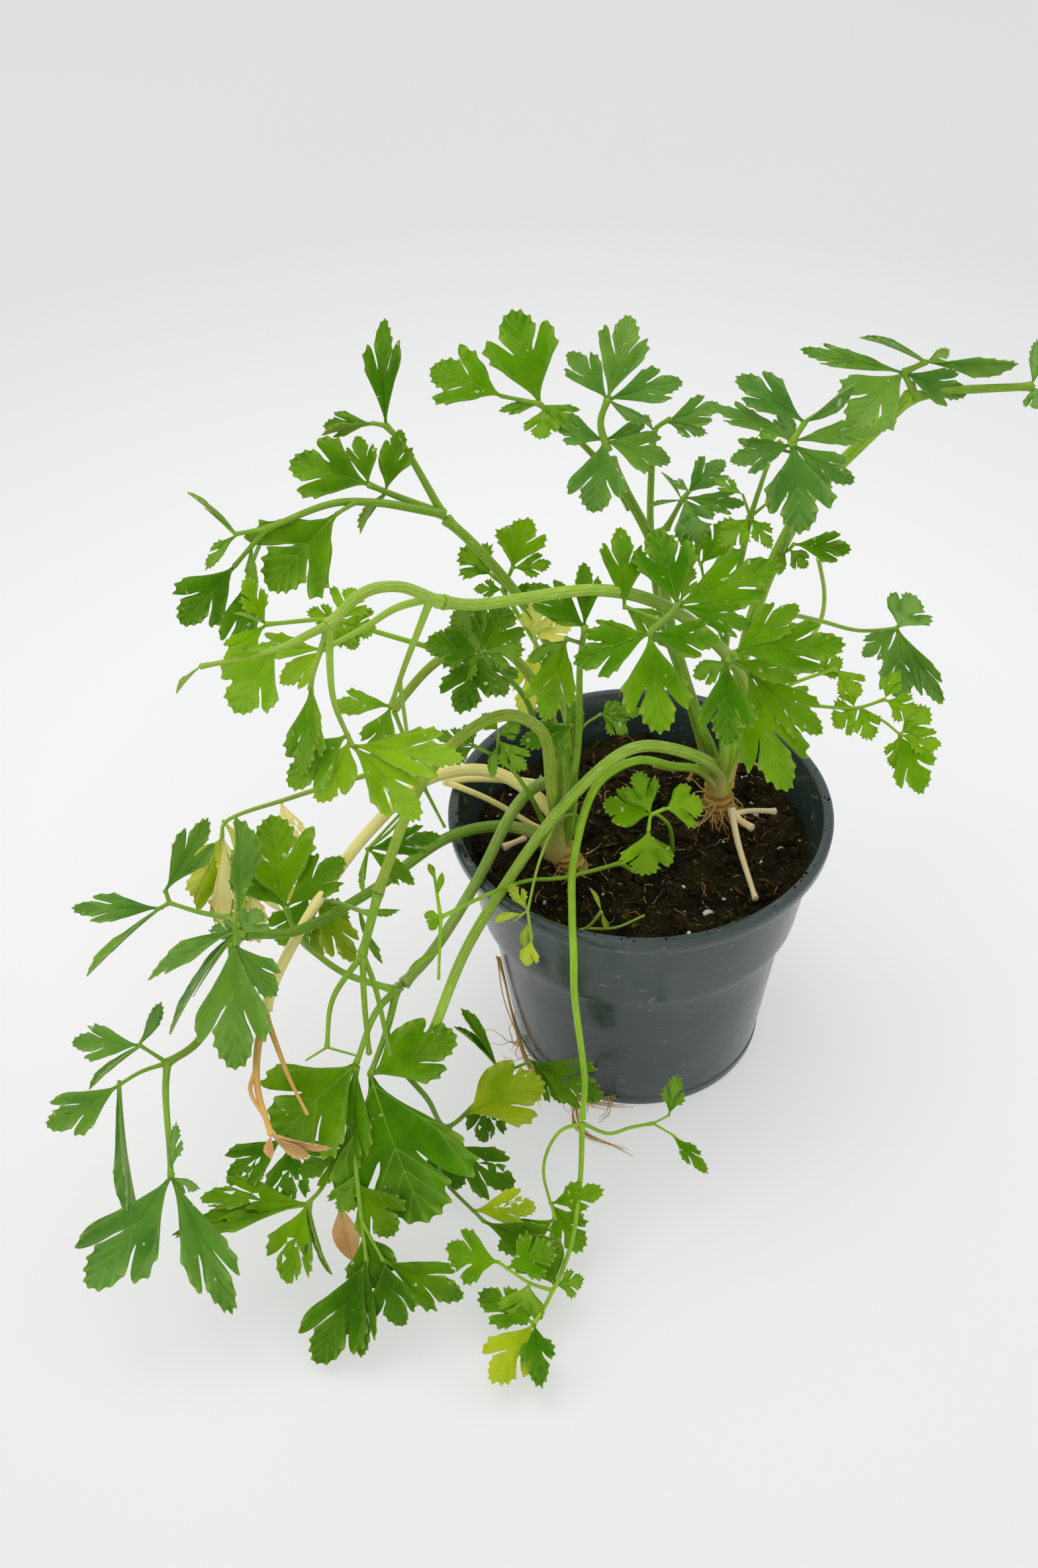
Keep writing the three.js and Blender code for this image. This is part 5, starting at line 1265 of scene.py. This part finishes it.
    blade("blade_lower_green", "dark", [
        [0.9, 0.6, [[-88, -86, 50], [-88, -96, 47], [-87, -106, 39], [-85, -120, 28]], [
            [0.25, 195, -15, 18, 13, "tri"], [0.4, 245, -45, 13, 12, "tri"], [0.45, 315, -35, 19, 17, "tri"],
            [1, 235, -40, 34, 20, "tri"], [1, 262, -45, 28, 12, "tri", 20], [0.8, 290, -45, 17, 16, "fan"],
        ]],
        [0.6, 0.5, [[-87, -112, 35], [-80, -121, 29]], [
            [1, 345, -20, 26, 15, "tri", 15], [1, 290, -45, 20, 16, "tri", 10],
        ]],
        [0.5, 0.4, [[-87, -104, 39], [-93, -103, 34]], [
            [1, 280, -45, 18, 8, "slim"],
        ]],
        [0.9, 0.9, [[-88, -86, 50], [-88, -82, 58], [-87, -79.5, 66]], []],
    ])
    blade("blade_holed_and_underside", "mid", [
        [0.8, 0.6, [[-92, -90, 43], [-98, -101, 38], [-102, -107, 38]], [
            [1, 175, 5, 32, 14, "tri"], [1, 185, -5, 41, 8, "slim", 15], [1, 240, -40, 24, 17, "tri", 10],
            [1, 285, -45, 22, 6, "slim", 40], [0.9, 260, -45, 20, 5, "slim", 20],
        ]],
        [0.5, 0.4, [[-92, -90, 43], [-109, -92, 50]], [
            [1, 205, -25, 22, 14, "tri"], [0.85, 260, -45, 21, 14, "tri"],
        ]],
        [0.8, 0.8, [[-92, -90, 43], [-88.5, -89.5, 48]], []],
    ])
    petiole("petiole_bright", "light", 2, 1.5, [
        [25, 7, 98], [22, 0, 110], [12, -6, 121], [0, -10, 127], [-8, -14, 127], [-25, -23, 115],
        [-43, -37, 96],
        [-55, -52, 84], [-64, -70, 72], [-67, -74, 67],
    ])
    blade("blade_pot_foot", "dark", [
        [0.9, 0.7, [[-76, -71, 57], [-68, -74, 46], [-62, -66, 22], [-53, -58, 24], [-45, -50, 28]], [
            [0.9, 255, -50, 18, 14, "tri"], [0.72, 15, 15, 27, 22, "fan"], [0.55, 280, -50, 21, 15, "fan"],
        ]],
        [0.6, 0.4, [[-45, -50, 28], [-36, -49, 32]], [
            [1, 345, -20, 26, 16, "tri"], [1, 325, -40, 18, 9, "bi", 10],
        ]],
        [0.7, 0.5, [[-62, -66, 22], [-64, -88, 27], [-51, -105, 25]], [
            [0.2, 340, -25, 26, 16, "tri"], [0.9, 5, 0, 19, 12, "tri"], [1, 340, -15, 24, 13, "tri", 10],
        ]],
        [0.4, 0.3, [[-45, -50, 28], [-47, -47, 29]], [
            [1, 130, 45, 21, 5, "slim", 30], [1, 145, 40, 18, 4, "slim", 40],
        ]],
        [0.9, 0.8, [[-76, -71, 57], [-78.3, -69.5, 69.5]], []],
    ])
    petiole("petiole_thin_front", "young", 1.5, 0.9, [
        [23, 6, 98], [17, 1, 108], [9, -2, 112], [-2, -6, 118], [-14, -13, 115], [-22, -34, 103],
        [-23, -50, 97],
        [-23, -62, 93], [-23, -67, 82], [-20, -71, 45], [-21, -75, 35],
    ])
    blade("blade_floor_left", "young", [
        [0.9, 0.6, [[-21, -76, 34], [-22, -88, 23], [-26, -110, 17], [-33, -125, 13], [-37, -131, 11]], [
            [0.8, 115, 10, 18, 17, "fan"], [0.8, 10, 0, 9, 9, "bi"], [1, 150, 5, 20, 13, "tri"],
            [1, 235, 0, 23, 17, "tri"], [1, 275, 0, 21, 11, "bi"],
        ]],
        [0.6, 0.4, [[-21, -76, 34], [-28, -80, 35], [-33, -85, 25], [-30, -100, 19]], [
            [1, 200, -20, 20, 14, "tri"], [0.85, 10, 10, 17, 10, "tri"], [0.85, 315, -40, 18, 13, "tri"],
        ]],
        [0.6, 0.5, [[-21, -76, 34], [-13, -77, 30], [-6, -74, 29], [1, -71, 27]], []],
        [0.6, 0.4, [[-32, -122, 14], [-38, -122, 18], [-47, -118, 23]], [
            [1, 175, 10, 16, 17, "fan"], [0.8, 20, 10, 16, 15, "tri"], [0.4, 240, -40, 13, 14, "fan"],
        ]],
        [0.4, 0.3, [[1, -71, 27], [6, -68, 27]], [
            [1, 65, 50, 13, 8, "tri"],
        ]],
        [0.4, 0.3, [[1, -71, 27], [8, -75, 25]], [
            [0.9, 325, -35, 17, 6, "tri"],
        ]],
    ])
    blade("blade_young_sprig", "young", [
        [0.8, 0.5, [[10, -6, 80], [9, -10, 91], [7, -14, 100], [2, -18, 107], [1, -21, 103]], [
            [0.85, 170, 10, 15, 12, "fan"], [0.85, 115, 45, 14, 11, "fan"], [1, 260, -50, 14, 17, "fan"],
        ]],
        [0.6, 0.5, [[2, -18, 108], [6, -17, 108]], [
            [1, 5, 5, 12, 14, "fan"],
        ]],
    ])
    blade("blade_yellow_loops", "yellow2", [
        [0.6, 0.4, [[-20, -14, 103], [-26, -22, 109], [-32, -36, 106], [-36, -49, 98]], [
            [1, 135, 40, 10, 6, "bi", 20],
        ]],
        [0.6, 0.5, [[-26, -22, 109], [-36, -23, 94], [-41, -29, 87], [-32, -39, 80], [-19, -43, 84],
            [-14, -42, 90]], [
            [1, 125, 45, 8, 3, "slim", 20], [1, 295, -45, 6, 2, "slim", 20],
        ]],
        [0.5, 0.4, [[-36, -49, 98], [-35, -57, 94]], [
            [0.4, 250, -45, 8, 5, "bi"], [1, 245, -45, 8, 8, "bi"],
        ]],
        [0.4, 0.4, [[-36, -49, 98], [-40, -51, 96]], [
            [0.3, 190, -5, 9, 4, "slim", 20],
        ]],
        [0.5, 0.4, [[-19, -43, 84], [-10, -44, 85], [-1, -40, 86]], []],
    ])
    blade("sprig_ragged", "young", [
        [0.7, 0.6, [[-7, -17, 86], [-25, -25, 88], [-35, -32, 94], [-46, -44, 101], [-61, -58, 105]], [
            [1, 170, 10, 5, 5, "bi"], [1, 215, -30, 5, 3, "slim"],
        ]],
        [0.6, 0.4, [[-61, -58, 105], [-63, -46, 113]], [
            [0.8, 115, 45, 5, 2, "slim"], [0.5, 70, 45, 7, 2, "slim"],
        ]],
        [0.6, 0.4, [[-61, -58, 105], [-62, -70, 92]], [
            [0.5, 200, -15, 11, 2, "slim", 20],
        ]],
        [0.7, 0.7, [[-7, -17, 86], [-3, -16, 81.5]], []],
    ])
    blade("withered_stubs_right", "straw", [
        [1.1, 0.8, [[29, 4, 88], [30, -8, 85.5], [33, -33, 85]], []],
        [1.2, 1.0, [[29, 4, 88], [31, 1, 87], [35, -3, 86.5]], []],
        [0.9, 0.9, [[30, 2, 88], [35, 4, 87.5], [43, 4, 87]], []],
    ])
    petiole("withered_stub_left", "straw", 1.1, 0.8, [[-43, -8, 85.5], [-36, -5, 86.5]])
    blade("root_loops_right", "root", [
        [0.6, 0.5, [[17, 21, 86], [20, 22, 92], [27, 23, 94], [35, 22, 93], [43, 21, 89], [48, 20, 85.5]],
        []],
        [0.5, 0.4, [[20, 22, 92], [12, 24, 88], [6, 29, 85.5]], []],
    ])
    blade("roots_from_the_foot", "root", [
        [0.6, 0.5, [[-46, -14, 42], [-43, -16, 22], [-39.5, -19, 8], [-36.5, -23.5, 2.2], [-30.5, -31, 1.5],
            [-21.5, -38, 1.5], [-11, -42.2, 1.5], [0, -43.2, 1.5]], []],
        [0.5, 0.4, [[-21.5, -38, 1.5], [-21, -51, 1.2], [-5, -62, 1.1]], []],
    ])

# ---- pot ----


def turned(name, profile, sides):
    """A ring drawn through a profile of (radius, height) by extruding and scaling, closed at both ends."""
    first_radius, first_height = profile[0]
    bpy.ops.mesh.primitive_circle_add(
        vertices=sides, radius=first_radius * MM, fill_type="NGON", location=(0, 0, first_height * MM)
    )
    body = bpy.context.object
    body.name = name
    bpy.ops.object.transform_apply(location=True)
    bpy.ops.object.mode_set(mode="EDIT")
    bpy.ops.mesh.select_all(action="SELECT")
    for (r0, z0), (r1, z1) in zip(profile, profile[1:]):
        bpy.ops.mesh.extrude_region_move(TRANSFORM_OT_translate={"value": (0, 0, (z1 - z0) * MM)})
        bpy.ops.transform.resize(value=(r1 / r0, r1 / r0, 1), center_override=(0, 0, z1 * MM))
    bpy.ops.mesh.select_all(action="SELECT")
    bpy.ops.mesh.normals_make_consistent(inside=False)
    bpy.ops.object.mode_set(mode="OBJECT")
    return body


POT_PROFILE = (
    (30, 1.2), (36, 1.2), (37.2, 0.2), (39.8, 0.0), (40.6, 0.3), (40.9, 1.0), (41.2, 3.4), (40.9, 3.9),
    (42.6, 16), (44.6, 31), (46.4, 44), (47.9, 54.6), (48.2, 55.6), (48.9, 56.4), (50.1, 57.0),
    (50.8, 57.6), (51.1, 58.4), (51.7, 62), (53.6, 74), (55.2, 84), (55.8, 87.6), (56.2, 88.4),
    (57.4, 88.8), (58.8, 88.9), (59.4, 89.2), (59.7, 89.9), (60.0, 92.8), (59.8, 93.5), (59.3, 93.9),
    (58.7, 94.0), (57.6, 94.0), (57.0, 93.8), (56.6, 93.2), (56.0, 91.0), (54.6, 88.0), (52.2, 74),
    (49.8, 59.4), (49.4, 58.4), (48.0, 57.6), (46.8, 56.6), (46.4, 55.0), (44.9, 44), (43.1, 31),
    (41.1, 16), (39.4, 3.2), (38.6, 2.6), (20, 2.6),
)
RIM_HEIGHT = 94
DRAIN_HOLES = 6
HOLE_RADIUS = 4.5
HOLE_RING = 28


def pot():
    """The pot in one moulding, with holes punched through its floor."""
    body = turned("pot_shell", POT_PROFILE, 128)
    for i in range(DRAIN_HOLES):
        angle = i / DRAIN_HOLES * math.tau
        bpy.ops.object.select_all(action="DESELECT")
        bpy.ops.mesh.primitive_cylinder_add(
            vertices=24, radius=HOLE_RADIUS * MM, depth=12 * MM,
            location=(HOLE_RING * math.cos(angle) * MM, HOLE_RING * math.sin(angle) * MM, 2 * MM),
        )
        punch = bpy.context.object
        cut = body.modifiers.new("drain hole", "BOOLEAN")
        cut.object = punch
        cut.solver = "EXACT"
        bpy.context.view_layer.objects.active = body
        bpy.ops.object.modifier_apply(modifier=cut.name)
        bpy.data.objects.remove(punch)
    body.data.materials.append(pot_plastic())
    smooth_shade(body, 38)
    finish_piece(body, "pot_plastic", "pot")


# ---- soil ----

EARTH = {
    "soil": earth_material("potting soil", (42, 36, 14), (23, 19, 8), (124, 108, 58), 0.4, 1.0, 0.0012),
    "crumb": earth_material("soil crumb", (54, 45, 20), (27, 22, 10), (112, 96, 50), 0.35),
    "bark": earth_material("bark flake", (84, 62, 30), (46, 35, 18), (136, 110, 62), 0.3),
    "perlite": earth_material("perlite", (226, 224, 216), (196, 190, 178), (160, 150, 132), 0.4, 0.5),
    "moss": earth_material("moss", (98, 106, 34), (62, 72, 20), (150, 150, 70), 0.5),
}
CROWN_SKIN = crown_skin()
SOIL_RADIUS = 53.2


def soil_height(x, y):
    """Height of the soil in millimetres: two mounds round the crowns, broad lumps, and a fall at the wall."""
    mound = 2.2 * math.exp(-((x - 24) ** 2 + (y - 8) ** 2) / 160)
    left = 2.0 * math.exp(-((x + 20) ** 2 + (y + 14) ** 2) / 140)
    lumps = 0.9 * math.sin(x * 0.21 + 1) * math.cos(y * 0.24) + 0.6 * math.sin(x * 0.5 + y * 0.4)
    return 81 + mound + left + lumps - 1.5 * (math.hypot(x, y) / 51) ** 4


def crumbled(x, y):
    """The soil's height with its clods and crumbs."""
    clods = noise.fractal(Vector((x * 0.13, y * 0.13, 1.7)), 1.0, 2.1, 4) * 2.3
    crumbs = noise.turbulence(Vector((x * 0.5, y * 0.5, 4.2)), 3, False) * 1.6
    return soil_height(x, y) + clods + crumbs - 1.2


def soil():
    """The bed of soil: a ring of many circles, whose top is then raised into clods and crumbs."""
    rings = [(SOIL_RADIUS * (1 - k / 62), 81) for k in range(62)]
    profile = [(44, 56), (50.5, 66), (SOIL_RADIUS, 79)] + rings
    bed = turned("soil_bed", profile, 180)
    for vert in bed.data.vertices:
        x, y, z = vert.co / MM
        if z > 80.5:
            vert.co.z = crumbled(x, y) * MM
    bed.data.materials.append(EARTH["soil"])
    smooth_shade(bed, 60)
    finish_piece(bed, "soil", "soil")


def pebble_shapes(count, detail, rough, seed):
    """Rough grains, each modelled from a small ball."""
    dice = random.Random(seed)
    shapes = []
    for _ in range(count):
        bpy.ops.object.select_all(action="DESELECT")
        bpy.ops.mesh.primitive_ico_sphere_add(subdivisions=detail, radius=1)
        ball = bpy.context.object
        stretch = np.array((1, dice.uniform(0.6, 0.95), dice.uniform(0.45, 0.8)))
        verts = np.array([v.co * (1 + dice.uniform(-rough, rough)) for v in ball.data.vertices]) * stretch
        shapes.append((verts, [tuple(p.vertices) for p in ball.data.polygons]))
        bpy.data.objects.remove(ball)
    return shapes


def scatter(name, material, shapes, count, sizes, slot, seed, sink=0.3, avoid=2.0):
    """Copies of a few grains, strewn over the soil."""
    dice = random.Random(seed)
    growth = Growth()
    for _ in range(count):
        verts, faces = dice.choice(shapes)
        radius = (SOIL_RADIUS - avoid) * math.sqrt(dice.random())
        angle = dice.uniform(0, math.tau)
        x, y = radius * math.cos(angle), radius * math.sin(angle)
        size = sizes[0] + (sizes[1] - sizes[0]) * dice.random() ** 3
        turn = Matrix.Rotation(dice.uniform(0, math.tau), 3, "Z")
        turn = turn @ Matrix.Rotation(dice.uniform(-0.5, 0.5), 3, "X")
        grain_verts = verts @ np.array(turn).T * size + (x, y, crumbled(x, y) + size * sink)
        growth.add(grain_verts, faces, 0, np.zeros((len(verts), 2)), tint=dice.random())
    growth.piece(name, [material], slot)


def soil_litter():
    """Crumbs, bark flakes, perlite and specks of moss on the soil."""
    crumbs = pebble_shapes(4, 1, 0.25, 1)
    scatter("soil_crumbs", EARTH["crumb"], crumbs, 1500, (0.35, 1.7), "soil", 2, 0.25)
    flakes = [(verts * (1.6, 0.5, 0.3), faces) for verts, faces in crumbs]
    scatter("soil_bark_flakes", EARTH["bark"], flakes, 170, (0.7, 2.6), "soil", 3, 0.3)
    scatter("soil_perlite", EARTH["perlite"], pebble_shapes(4, 1, 0.2, 4), 70, (0.25, 1.1), "soil", 5, 0.35)
    scatter("soil_moss", EARTH["moss"], crumbs, 200, (0.3, 1.2), "soil", 6, 0.2)
    scatter("soil_clods", EARTH["crumb"], pebble_shapes(4, 2, 0.16, 8), 110, (1.3, 3.2), "soil", 9, 0.1, 4.0)
    rim_dirt()
    growth = Growth()
    verts, faces = pebble_shapes(1, 2, 0.12, 7)[0]
    for x, y, size in ((19, -33, 1.9), (44, -6, 1.3), (38, 12, 1.2), (-20, -38, 1.0), (12, -22, 1.0)):
        growth.add(verts * size + (x, y, crumbled(x, y) + size * 0.4), faces, 0, np.zeros((len(verts), 2)))
    growth.piece("soil_perlite_lumps", [EARTH["perlite"]], "soil")


def rim_dirt():
    """Crumbs of soil left on the lip, most of them in front."""
    dice = random.Random(12)
    crumbs = pebble_shapes(2, 1, 0.25, 10)
    growth = Growth()
    for _ in range(46):
        verts, faces = dice.choice(crumbs)
        angle = math.radians(dice.gauss(-60, 70))
        radius, size = dice.uniform(57.2, 59.2), dice.uniform(0.2, 0.75) ** 1.4
        place = (radius * math.cos(angle), radius * math.sin(angle), RIM_HEIGHT + size * 0.2)
        growth.add(verts * size + place, faces, 0, np.zeros((len(verts), 2)), tint=dice.random())
    growth.piece("rim_crumbs", [EARTH["crumb"]], "soil")


# ---- crowns and roots ----


def crown(name, foot, top, radii):
    """A ringed collar of old leaf scars, leaning from its foot to its top."""
    foot, top = Vector(foot), Vector(top)
    length = (top - foot).length
    profile = []
    steps = 9 * (len(radii) - 1)
    for k in range(steps + 1):
        t = k / steps * (len(radii) - 1)
        i = min(int(t), len(radii) - 2)
        radius = radii[i] + (radii[i + 1] - radii[i]) * (t - i)
        ring = 0.28 * abs(math.sin(k * math.tau / 6)) - 0.14
        profile.append((radius + ring, k / steps * length))
    body = turned(name + "_collar", profile, 44)
    lean = (top - foot).to_track_quat("Z", "Y").to_matrix()
    for vert in body.data.vertices:
        p = vert.co / MM
        angle = math.atan2(p.y, p.x)
        rough = noise.noise(Vector((math.cos(angle) * 2.2, math.sin(angle) * 2.2, p.z * 0.5))) * 0.5
        p.x, p.y = p.x * (1 + rough * 0.22), p.y * (1 + rough * 0.22)
        vert.co = (lean @ p + foot) * MM
    body.data.materials.append(CROWN_SKIN)
    smooth_shade(body, 60)
    finish_piece(body, "crown_skin", name)


def wander(dice, start, aim, steps, stray):
    """A loose line from start towards aim that strays a little at every step."""
    line = [np.array(start, float)]
    heading = np.array(aim, float) - line[0]
    stride = np.linalg.norm(heading) / steps
    heading /= np.linalg.norm(heading)
    for _ in range(steps):
        heading = heading + np.array([dice.gauss(0, stray) for _ in range(3)])
        heading /= np.linalg.norm(heading)
        line.append(line[-1] + heading * stride)
    return line


def crown_hairs(growth, dice):
    """Hairs that come out of each crown and lie down on the soil."""
    for centre, height, count, reach in (((25.5, 9), 88, 34, 17), ((-21, -14), 84, 14, 12)):
        for _ in range(count):
            angle = dice.uniform(0, math.tau)
            far = dice.uniform(0.5, 1) * reach
            east, north = math.cos(angle), math.sin(angle)
            start = (centre[0] + 4.3 * east, centre[1] + 4.3 * north, height + dice.uniform(-4, 2))
            aim = (centre[0] + far * east, centre[1] + far * north, 82)
            line = wander(dice, start, aim, 8, 0.22)
            for p in line[1:]:
                p[2] = max(p[2], crumbled(p[0], p[1]) + 0.2)
            line = smooth_line(line, 1.5)
            radii = np.linspace(dice.uniform(0.18, 0.34), 0.08, len(line))
            tube(growth, line, radii, 0, 5, 0, dice.random())


def soil_fibres(growth, dice):
    """Stray fibres that follow the top of the soil."""
    for _ in range(90):
        angle, radius = dice.uniform(0, math.tau), 50 * math.sqrt(dice.random())
        x, y = radius * math.cos(angle), radius * math.sin(angle)
        line = wander(dice, (x, y, 82), (x + dice.uniform(-9, 9), y + dice.uniform(-9, 9), 82), 6, 0.3)
        for p in line:
            shrink = min(1, 51.5 / math.hypot(p[0], p[1]))
            p[0], p[1] = p[0] * shrink, p[1] * shrink
            p[2] = crumbled(p[0], p[1]) + dice.uniform(0.0, 0.5)
        line = smooth_line(line, 1.6)
        tube(growth, line, np.linspace(dice.uniform(0.1, 0.22), 0.07, len(line)), 0, 4, 0, dice.random())


def foot_fringe(growth, dice):
    """Hairs round the left of the foot, outside the wall and down to the floor."""
    for _ in range(26):
        angle = math.radians(dice.uniform(188, 262))
        start = (41.5 * math.cos(angle), 41.5 * math.sin(angle), dice.uniform(1, 5))
        aim = (dice.uniform(46, 60) * math.cos(angle), dice.uniform(46, 60) * math.sin(angle), 0.3)
        line = wander(dice, start, aim, 8, 0.35)
        for p in line:
            p[2] = max(p[2], 0.25)
            out = max(1, 41.6 / math.hypot(p[0], p[1]))
            p[0], p[1] = p[0] * out, p[1] * out
        line = smooth_line(line, 1.5)
        tube(growth, line, np.linspace(0.2, 0.08, len(line)), 0, 4, 0, dice.random())


def fine_roots():
    """Hairs from the crowns over the soil, stray fibres in it, and the fringe that hangs out of the foot."""
    dice = random.Random(31)
    growth = Growth()
    crown_hairs(growth, dice)
    soil_fibres(growth, dice)
    growth.piece("fine_roots_on_soil", [STALKS["root"]], "root_fibre")
    growth = Growth()
    foot_fringe(growth, dice)
    growth.piece("fine_roots_at_foot", [STALKS["root"]], "root_fibre")


def main():
    camera()
    studio()
    pot()
    soil()
    soil_litter()
    crown("root_crown_right", (26, 8, 77), (25, 11, 98), (4.2, 5.4, 4.6, 4.9, 4.0, 4.2, 3.2))
    crown("root_crown_left", (-19, -15, 77), (-27, -11, 91), (3.6, 4.8, 4.4, 4.6, 3.4))
    fine_roots()
    plant()


main()
